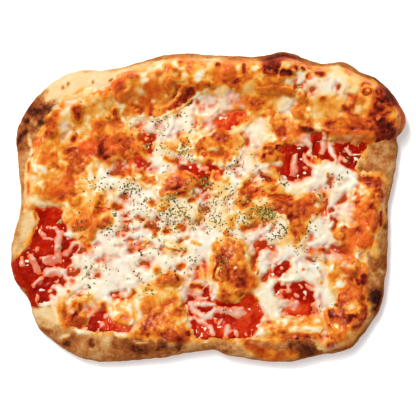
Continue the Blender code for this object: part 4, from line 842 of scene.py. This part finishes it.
def bakeCrust():
    mesh = crust.data
    points, normals = readPoints(mesh), readVectors(mesh, "normal")
    outward = normals[:, :2] / np.maximum(np.hypot(normals[:, 0], normals[:, 1]), 0.05)[:, None]
    push = np.full(len(points), crustLook["push"])
    for x, y, reach, way in edgeMoves:
        push += way * np.exp(-((points[:, 0] - x) ** 2 + (points[:, 1] - y) ** 2) / reach ** 2)
    push *= 1 - ease((sample(edgeDistance, points[:, 0], points[:, 1]) - 1) / 3)
    points[:, :2] += outward * (push * (1 - np.abs(normals[:, 2])))[:, None]
    upward = ease((normals[:, 2] - 0.1) / 0.5)
    x, y, z = points.T
    lift = sample(doughRelief, x, y)
    sideways = sample(crustLook["sideWobble"] * ripple(6, 45, 3), x + z * 0.9, y - z * 0.7)
    free = ease((z - 0.6) / 2)  # the foot stays flat
    points[:, 2] += lift * upward
    points += normals * (sideways * (1 - upward) * free)[:, None]
    points[:, 2] = np.maximum(points[:, 2], 0)
    writePoints(mesh, points)
    x, y, z = points.T
    low = 1 - ease((z - 0.5) / 5)
    sideTone = sample(blur(toast, 4), x + 0.8 * z, y - 0.6 * z)
    tone = upward * sample(toast, x, y) + (1 - upward) * sideTone
    writeLayer(mesh, "toast", np.clip(tone * (1 - 0.35 * low) + crustLook["footTone"] * low, 0, 1))
    writeLayer(mesh, "brown", upward * sample(brown, x, y) + (1 - upward) * sample(blur(brown, 3), x, y))
    writeLayer(mesh, "film", sample(film, x, y) * ease((z - 4) / 4) * ease((normals[:, 2] + 0.25) / 0.55))
    ragged = crustLook["stainFoot"] + crustLook["stainRag"] * sample(ripple(4, 36, 2), x, y)
    writeLayer(mesh, "stain", np.clip(sample(stain, x, y), 0, 1) * ease((z - ragged) / 2.5))
    mesh.shade_smooth()


bakeCrust()
print("crust baked:", len(crust.data.polygons), "faces")

# Materials.
exposure = 0.80  # how far surface colours are held back under this studio's light


def nodeTree(name):
    material = bpy.data.materials.new(name)
    material.use_nodes = True
    tree = material.node_tree
    shader = next(n for n in tree.nodes if n.type == "BSDF_PRINCIPLED")
    return material, tree, shader


def addNode(tree, kind, **values):
    node = tree.nodes.new(kind)
    for key, value in values.items():
        setattr(node, key, value)
    return node


def setSockets(node, values):
    for name, value in values.items():
        node.inputs[name].default_value = value


def feed(tree, shader, outputs):
    for name, output in outputs.items():
        tree.links.new(output, shader.inputs[name])


def attribute(tree, name):
    return addNode(tree, "ShaderNodeAttribute", attribute_name=name).outputs["Fac"]


def grain(tree, scale, detail=3.0, roughness=0.6):  # noise by the object's own place
    place = addNode(tree, "ShaderNodeTexCoord")
    noise = addNode(tree, "ShaderNodeTexNoise")
    tree.links.new(place.outputs["Object"], noise.inputs["Vector"])
    setSockets(noise, {"Scale": scale, "Detail": detail, "Roughness": roughness})
    return noise.outputs["Fac"]


def figure(tree, operation, first, second, third=0.0, clamp=False):  # a sum on values or sockets
    node = addNode(tree, "ShaderNodeMath", operation=operation, use_clamp=clamp)
    for socket, value in zip(node.inputs, (first, second, third)):
        if isinstance(value, (int, float)):
            socket.default_value = value
        else:
            tree.links.new(value, socket)
    return node.outputs[0]


def ramp(tree, factor, stops, share=exposure):
    node = addNode(tree, "ShaderNodeValToRGB")
    elements = node.color_ramp.elements
    while len(elements) < len(stops):
        elements.new(0.5)
    for element, (place, colour) in zip(elements, stops):
        element.position = place
        element.color = (*[part * share for part in colour], 1)
    tree.links.new(factor, node.inputs["Fac"])
    return node.outputs["Color"]


def mix(tree, factor, first, second, blend="MIX"):
    node = addNode(tree, "ShaderNodeMix", data_type="RGBA", blend_type=blend)
    for socket, value in zip([node.inputs[0], node.inputs[6], node.inputs[7]], (factor, first, second)):
        if isinstance(value, tuple):
            socket.default_value = (*value, 1)
        elif isinstance(value, (int, float)):
            socket.default_value = value
        else:
            tree.links.new(value, socket)
    return node.outputs[2]


def bump(tree, shader, height, strength, distance):
    node = addNode(tree, "ShaderNodeBump")
    setSockets(node, {"Strength": strength, "Distance": distance})
    tree.links.new(height, node.inputs["Height"])
    tree.links.new(node.outputs["Normal"], shader.inputs["Normal"])


def around(tree, level, noise, swing, base, clamp=False):  # level moved up and down by noise, more where it is high
    reach = figure(tree, "MULTIPLY_ADD", level, swing, base)
    return figure(tree, "MULTIPLY_ADD", figure(tree, "SUBTRACT", noise, 0.5), reach, level, clamp)


def cheeseToneGroup():  # the colours that melted cheese goes through as it browns
    group = bpy.data.node_groups.new("cheese tone", "ShaderNodeTree")
    group.interface.new_socket("Brown", in_out="INPUT", socket_type="NodeSocketFloat")
    group.interface.new_socket("Color", in_out="OUTPUT", socket_type="NodeSocketColor")
    start = addNode(group, "NodeGroupInput")
    end = addNode(group, "NodeGroupOutput")
    level = around(group, start.outputs["Brown"], grain(group, 900, 3, 0.7), 0.24, 0.04)
    level = around(group, level, grain(group, 300, 2, 0.5), 0.16, 0.03, True)
    colour = ramp(group, level, [
        (0.00, (0.96, 0.92, 0.76)), (0.09, (0.97, 0.86, 0.62)), (0.20, (0.97, 0.68, 0.28)),
        (0.31, (0.95, 0.46, 0.080)), (0.42, (0.90, 0.32, 0.026)), (0.53, (0.80, 0.18, 0.012)),
        (0.64, (0.56, 0.085, 0.010)), (0.74, (0.33, 0.020, 0.004)), (0.85, (0.11, 0.008, 0.004)),
        (1.00, (0.02, 0.008, 0.006)),
    ])
    group.links.new(colour, end.inputs["Color"])
    return group


cheeseTone = cheeseToneGroup()


def toneOf(tree, brownValue):  # the shared browning colours, placed in a material
    node = addNode(tree, "ShaderNodeGroup", node_tree=cheeseTone)
    tree.links.new(brownValue, node.inputs["Brown"])
    return node.outputs["Color"]


def cheeseMaterial():
    material, tree, shader = nodeTree("melted mozzarella")
    fine = grain(tree, 700, 3, 0.6)
    broad = grain(tree, 240, 3, 0.6)
    brownHere = attribute(tree, "brown")
    colour = toneOf(tree, brownHere)
    pink = mix(tree, 1.0, colour, (0.70, 0.27, 0.26), "MULTIPLY")
    rosyHere = around(tree, attribute(tree, "rosy"), broad, 0.9, 0.0, True)
    colour = mix(tree, rosyHere, colour, pink)
    thinHere = around(tree, attribute(tree, "thin"), broad, 0.6, 0.0, True)
    colour = mix(tree, thinHere, colour, (0.76, 0.105, 0.012))  # sauce through thin cheese
    charred = figure(tree, "MULTIPLY_ADD", brownHere, 2.4, -1.1, True)  # char is dull and has no oil on it
    feed(tree, shader, {
        "Base Color": colour,
        "Roughness": figure(tree, "MULTIPLY_ADD", fine, 0.28, figure(tree, "ADD", charred, 0.05), True),
        "Coat Weight": figure(tree, "MULTIPLY_ADD", charred, -0.3, 0.28, True),
    })
    setSockets(shader, {
        "Subsurface Weight": 0.3, "Subsurface Radius": (1.0, 0.6, 0.35), "Subsurface Scale": 0.0012,
        "Specular IOR Level": 0.08, "Coat Roughness": 0.12, "Coat IOR": 1.4,
    })
    rough = figure(tree, "MULTIPLY_ADD", brownHere, 1.3, 0.14)
    height = figure(tree, "MULTIPLY", figure(tree, "MULTIPLY_ADD", broad, 1.6, fine), rough)
    bump(tree, shader, height, 0.55, 0.0009)
    return material


def sauceMaterial():
    material, tree, shader = nodeTree("tomato sauce")
    pulp = grain(tree, 420, 4, 0.7)
    level = around(tree, attribute(tree, "tone"), pulp, 0.5, 0.35, True)
    colour = ramp(tree, level, [
        (0.00, (0.22, 0.003, 0.0005)), (0.28, (0.37, 0.005, 0.0005)), (0.55, (0.56, 0.014, 0.001)),
        (0.80, (0.76, 0.060, 0.010)), (1.00, (0.88, 0.15, 0.04)),
    ])
    gap = ramp(tree, pulp, [(0.3, (0.24, 0.036, 0.006)), (0.7, (0.58, 0.140, 0.024))])
    feed(tree, shader, {
        "Base Color": mix(tree, attribute(tree, "wide"), gap, colour),
        "Roughness": figure(tree, "MULTIPLY_ADD", pulp, 0.25, 0.08),
        "Coat Weight": figure(tree, "MULTIPLY_ADD", pulp, 1.6, -0.8, True),
    })
    setSockets(shader, {"Specular IOR Level": 0.06, "Specular Tint": (1, 0.7, 0.5, 1), "Coat Roughness": 0.08})
    bump(tree, shader, pulp, 0.7, 0.001)
    return material


def crustMaterial():
    material, tree, shader = nodeTree("baked dough")
    fine = grain(tree, 640, 4, 0.7)
    speck = grain(tree, 260, 4, 0.65)
    toastHere = attribute(tree, "toast")
    level = around(tree, toastHere, fine, 1.05, 0.08)
    level = around(tree, level, speck, 0.45, 0.06, True)
    colour = ramp(tree, level, [
        (0.00, (0.88, 0.68, 0.40)), (0.12, (0.86, 0.58, 0.27)), (0.26, (0.68, 0.35, 0.12)),
        (0.42, (0.48, 0.150, 0.034)), (0.56, (0.33, 0.080, 0.018)), (0.70, (0.20, 0.042, 0.013)),
        (0.84, (0.085, 0.018, 0.009)), (1.00, (0.025, 0.010, 0.009)),
    ])
    flour = ramp(tree, grain(tree, 420, 5, 0.75), [(0.58, (0, 0, 0)), (0.72, (1, 1, 1))], 1)
    dusting = figure(tree, "MULTIPLY_ADD", toastHere, -0.42, 0.38, True)
    colour = mix(tree, figure(tree, "MULTIPLY", flour, dusting), colour, (0.78, 0.50, 0.24))
    colour = mix(tree, attribute(tree, "film"), colour, toneOf(tree, attribute(tree, "brown")))
    stained = ramp(tree, speck, [(0.30, (0.26, 0.003, 0.0005)), (0.65, (0.54, 0.020, 0.003))])
    oiled = figure(tree, "MAXIMUM", attribute(tree, "film"), attribute(tree, "stain"))
    feed(tree, shader, {
        "Base Color": mix(tree, attribute(tree, "stain"), colour, stained),
        "Roughness": figure(tree, "MULTIPLY_ADD", oiled, -0.28, figure(tree, "MULTIPLY_ADD", fine, 0.3, 0.45)),
        "Coat Weight": figure(tree, "MULTIPLY", oiled, 0.10),
    })
    setSockets(shader, {"Coat Roughness": 0.2, "Specular IOR Level": 0.0})
    bump(tree, shader, figure(tree, "ADD", fine, speck), 0.8, 0.0010)
    return material


crust.data.materials.append(crustMaterial())
sauce.data.materials.append(sauceMaterial())
cheese.data.materials.append(cheeseMaterial())

# Dried herbs and pepper.
topSurface = np.maximum(sauceTop, cheeseTop)

herbSpots = [  # x, y, spread, how many
    (-15, 37, 3.5, 16), (-27, 36, 2.5, 6), (-37, 37, 2.5, 10), (-29, 44.5, 2, 5), (-9.5, 47, 2.5, 6),
    (-12, 61.5, 2, 4), (-26, 47.5, 3, 5), (-32, 52, 3, 5), (-23.5, 53.5, 3, 4), (-16, 55, 3, 5), (-47, 12, 3.5, 16),
    (-50, 10.5, 3.5, 8), (-41.5, 10.5, 2, 4), (-38.5, 4.5, 2, 4), (-24.5, 24.8, 2, 3), (-16, 33, 3, 10),
    (-10, 31, 3, 8), (-1.5, 15, 4, 34), (-23, 6, 2.5, 8), (-18, -5, 9, 60), (-28, -4, 7, 26), (-8, -12, 3, 10),
    (4.5, -8, 3, 12), (0, -14, 2.5, 5), (33, -3, 5, 60), (26, -4, 4, 20), (37, -5, 4, 26), (24, 2, 4, 10),
    (43, -13, 6, 18), (19, -7, 4, 10), (24, -8.5, 3, 6), (-77, -10, 4, 10), (-68, 16, 5, 6), (-60, 15, 6, 8),
    (-60, -14, 5, 12), (-42, -27, 4, 6), (-17, -27, 3, 5), (-20, -39, 3, 8), (-9, -32, 3, 6), (8, -33, 3.5, 14),
    (-36, -49, 3, 8), (-42, -41, 4, 5), (-29, -39, 2, 4), (-62, -36, 3, 5), (-72, -46, 5, 6), (-74, -36, 4, 5),
    (12, -12, 6, 12), (16, 24, 5, 8), (39, -18, 4, 9), (54, -22, 5, 9), (61, -11, 4, 7), (66, 5, 4, 8),
    (79, 17.5, 4, 7), (84, 29, 2, 3), (64, -32, 3, 5), (66, -61, 3, 6), (77, -58, 3, 4), (10, -61, 3, 3),
    (45, 15, 3, 5), (-89, -9, 1.5, 3), (-88, -23, 1.5, 3), (-49, 27, 2, 3), (-56, -4, 3, 6), (10, 8, 8, 22),
    (-10, 14, 5, 14), (-40, 0, 8, 14), (-46, -14, 8, 12), (-30, -20, 8, 12), (0, 0, 7, 24), (10, -24, 6, 8),
    (30, 18, 7, 8), (-75, 48, 12, 5), (-48, 40, 8, 6),
]


def scatterPiece(name, kind, places, material):  # one piece for each kind, every bit of it true mesh
    bm = bmesh.new()
    tone = bm.verts.layers.float.new("tone")
    for x, y, size, tilt in places:
        made = bmesh.ops.create_icosphere(bm, subdivisions=kind["steps"], radius=1)["verts"]
        height = float(sample(topSurface, x, y)) + size[2] * 0.35
        turn = Matrix.Rotation(rng.uniform(0, math.tau), 4, "Z") @ Matrix.Rotation(tilt, 4, "Y")
        place = Matrix.Translation((x * mm, y * mm, height * mm)) @ turn
        scale = Matrix.Diagonal((size[0] * mm, size[1] * mm, size[2] * mm, 1))
        bmesh.ops.transform(bm, verts=made, matrix=place @ scale)
        shadeHere = rng.random()
        for v in made:
            v.co += Vector([rng.uniform(-kind["rough"], kind["rough"]) * min(size) * mm for _ in range(3)])
            v[tone] = shadeHere
    piece = fromBmesh(bm, name)
    piece.data.materials.append(material)
    return piece


def tonedMaterial(name, stops, roughness):
    material, tree, shader = nodeTree(name)
    swing = figure(tree, "SUBTRACT", grain(tree, 900, 2), 0.5)
    mottle = figure(tree, "MULTIPLY_ADD", swing, 0.5, attribute(tree, "tone"), True)
    feed(tree, shader, {"Base Color": ramp(tree, mottle, stops)})
    setSockets(shader, {"Roughness": roughness, "Specular IOR Level": 0.1})
    bump(tree, shader, grain(tree, 1500, 2), 0.3, 0.0003)
    return material


herbLook = {"steps": 1, "rough": 0.25, "share": 1.9, "long": (0.4, 1.25), "wide": (0.25, 0.55), "flat": 0.2}
pepperLook = {
    "steps": 1, "rough": 0.3, "long": (0.5, 0.8), "wide": (0.4, 0.6), "high": 0.4,
    "strewn": 170, "fineLong": (0.3, 0.55), "fineWide": (0.25, 0.45), "fineHigh": 0.3,
}
stemLook = {"steps": 1, "rough": 0.15}

pepperSpots = [  # bigger grains: x, y
    (-68, 18), (-65.5, 10.5), (-58.5, 11.5), (-74.5, 9.5), (-60.5, 20.5), (-77.5, -3), (-50.5, 12.5), (-48.5, 13.5),
    (-49.7, 8.5), (-41.5, 10.5), (-46.8, 6.5), (-38.5, 4.5), (-20, -38), (-20, -40), (-14.5, -39), (-11, -32),
    (-8, -31.5), (-42, -26), (-40, -28), (11.5, 11), (15.5, 23), (15.5, 28), (19, 19), (37, 17.5), (42.5, 16.5),
    (45, 14), (73.3, 12.3), (61, -9), (60, -14), (65, -4), (38, -19), (40, -17), (42, -17), (-72, -46.5),
    (-62.5, -11.5), (-58.5, -11), (-56.5, -5), (9, -61.5), (-42.5, -41), (-24.5, 24.8),
]

stemPlaces = [  # x, y, size, tilt
    (21, 27, (1.6, 0.35, 0.3), 0.1), (23, 32, (1.4, 0.3, 0.3), 0.1), (31.5, 4.8, (2, 0.5, 0.35), 0),
    (24, -8.5, (2.5, 0.5, 0.35), 0), (16.5, -3, (1.8, 0.4, 0.3), 0), (20.5, -17, (2, 0.45, 0.3), 0),
    (-89.5, -8.5, (2.5, 0.6, 0.5), 0), (-19, -18, (1.6, 0.3, 0.3), 0), (5, 4, (1.7, 0.4, 0.3), 0),
    (-34, -18, (1.4, 0.35, 0.3), 0), (12, -20, (1.5, 0.3, 0.3), 0),
]


def herbPlaces():
    places = []
    for x, y, spread, count in herbSpots:
        for _ in range(int(count * herbLook["share"])):
            px, py = x + rng.gauss(0, spread * 0.62), y + rng.gauss(0, spread * 0.62)
            size = (rng.uniform(*herbLook["long"]), rng.uniform(*herbLook["wide"]), herbLook["flat"])
            places.append((px, py, size, rng.gauss(0, 0.25)))
    return places


def pepperPlaces():
    places = []
    for x, y in pepperSpots:
        long, wide = rng.uniform(*pepperLook["long"]), rng.uniform(*pepperLook["wide"])
        places.append((x, y, (long, wide, pepperLook["high"]), 0))
    for _ in range(pepperLook["strewn"]):
        x, y = rng.gauss(-5, 34), rng.gauss(0, 26)
        if sample(coverage, x, y) > 0.5 and sample(brown, x, y) < 0.5:
            long, wide = rng.uniform(*pepperLook["fineLong"]), rng.uniform(*pepperLook["fineWide"])
            places.append((x, y, (long, wide, pepperLook["fineHigh"]), 0))
    return places


herbs = scatterPiece("driedHerbs", herbLook, herbPlaces(), tonedMaterial("dried herb", [
    (0.0, (0.05, 0.030, 0.007)), (0.35, (0.15, 0.105, 0.014)), (0.65, (0.36, 0.26, 0.04)), (1.0, (0.72, 0.58, 0.20)),
], 0.7))
pepper = scatterPiece("crackedPepper", pepperLook, pepperPlaces(), tonedMaterial("cracked pepper", [
    (0.0, (0.012, 0.009, 0.007)), (0.7, (0.04, 0.028, 0.018)), (1.0, (0.12, 0.08, 0.04)),
], 0.6))
straws = scatterPiece("herbStems", stemLook, stemPlaces, tonedMaterial("herb stem", [
    (0.0, (0.50, 0.38, 0.14)), (1.0, (0.78, 0.63, 0.30)),
], 0.6))
print("herbs", len(herbs.data.polygons), "pepper", len(pepper.data.polygons))

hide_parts("crust")
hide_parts("tomato_sauce")
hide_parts(*[name for name in nodes if name not in ("crust", "tomato_sauce")])
for piece, slotName in (
    (crust, "baked_dough"), (sauce, "tomato_sauce"), (cheese, "white_cheese"),
    (herbs, "tomato_sauce"), (pepper, "tomato_sauce"), (straws, "tomato_sauce"),
):
    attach(piece, "root")

# Floor, light and camera.
studio = {
    "world": 0.42, "floor": 0.95, "floorGlow": 0.25, "lens": 150, "cameraPlace": (-0.0003, -0.0003, 1.05),
    "softboxes": {  # place, power, size
        "key": ((-0.36, 0.66, 1.15), 15.0, 0.36),
        "side": ((-0.9, -0.1, 0.8), 2.0, 0.35),
        "spark": ((-0.25, 0.35, 1.2), 2.4, 0.10),
    },
}
bm = bmesh.new()
bmesh.ops.create_grid(bm, x_segments=1, y_segments=1, size=4)
floor = fromBmesh(bm, "floor")
floorMaterial, floorTree, floorShader = nodeTree("floor")
setSockets(floorShader, {
    "Base Color": (studio["floor"],) * 3 + (1,), "Roughness": 0.9, "Specular IOR Level": 0.0,
    "Emission Color": (1, 1, 1, 1), "Emission Strength": studio["floorGlow"],
})
floor.data.materials.append(floorMaterial)

world = bpy.data.worlds.new("studio")
bpy.context.scene.world = world
world.use_nodes = True
background = next(n for n in world.node_tree.nodes if n.type == "BACKGROUND")
setSockets(background, {"Color": (1, 1, 1, 1), "Strength": studio["world"]})
world.cycles_visibility.glossy = False


def softbox(name, place, energy, size):
    lamp = bpy.data.lights.new(name, "AREA")
    lamp.energy = energy
    lamp.size = size
    light = newObject(name, lamp)
    light.location = place
    light.rotation_euler = (-Vector(place)).to_track_quat("-Z", "Y").to_euler()


for name, values in studio["softboxes"].items():
    softbox(name, *values)

lens = bpy.data.cameras.new("camera")
lens.lens = studio["lens"]
lens.sensor_width = 36
lens.clip_start = 0.01
lens.clip_end = 20
camera = newObject("camera", lens)
camera.location = studio["cameraPlace"]
bpy.context.scene.camera = camera
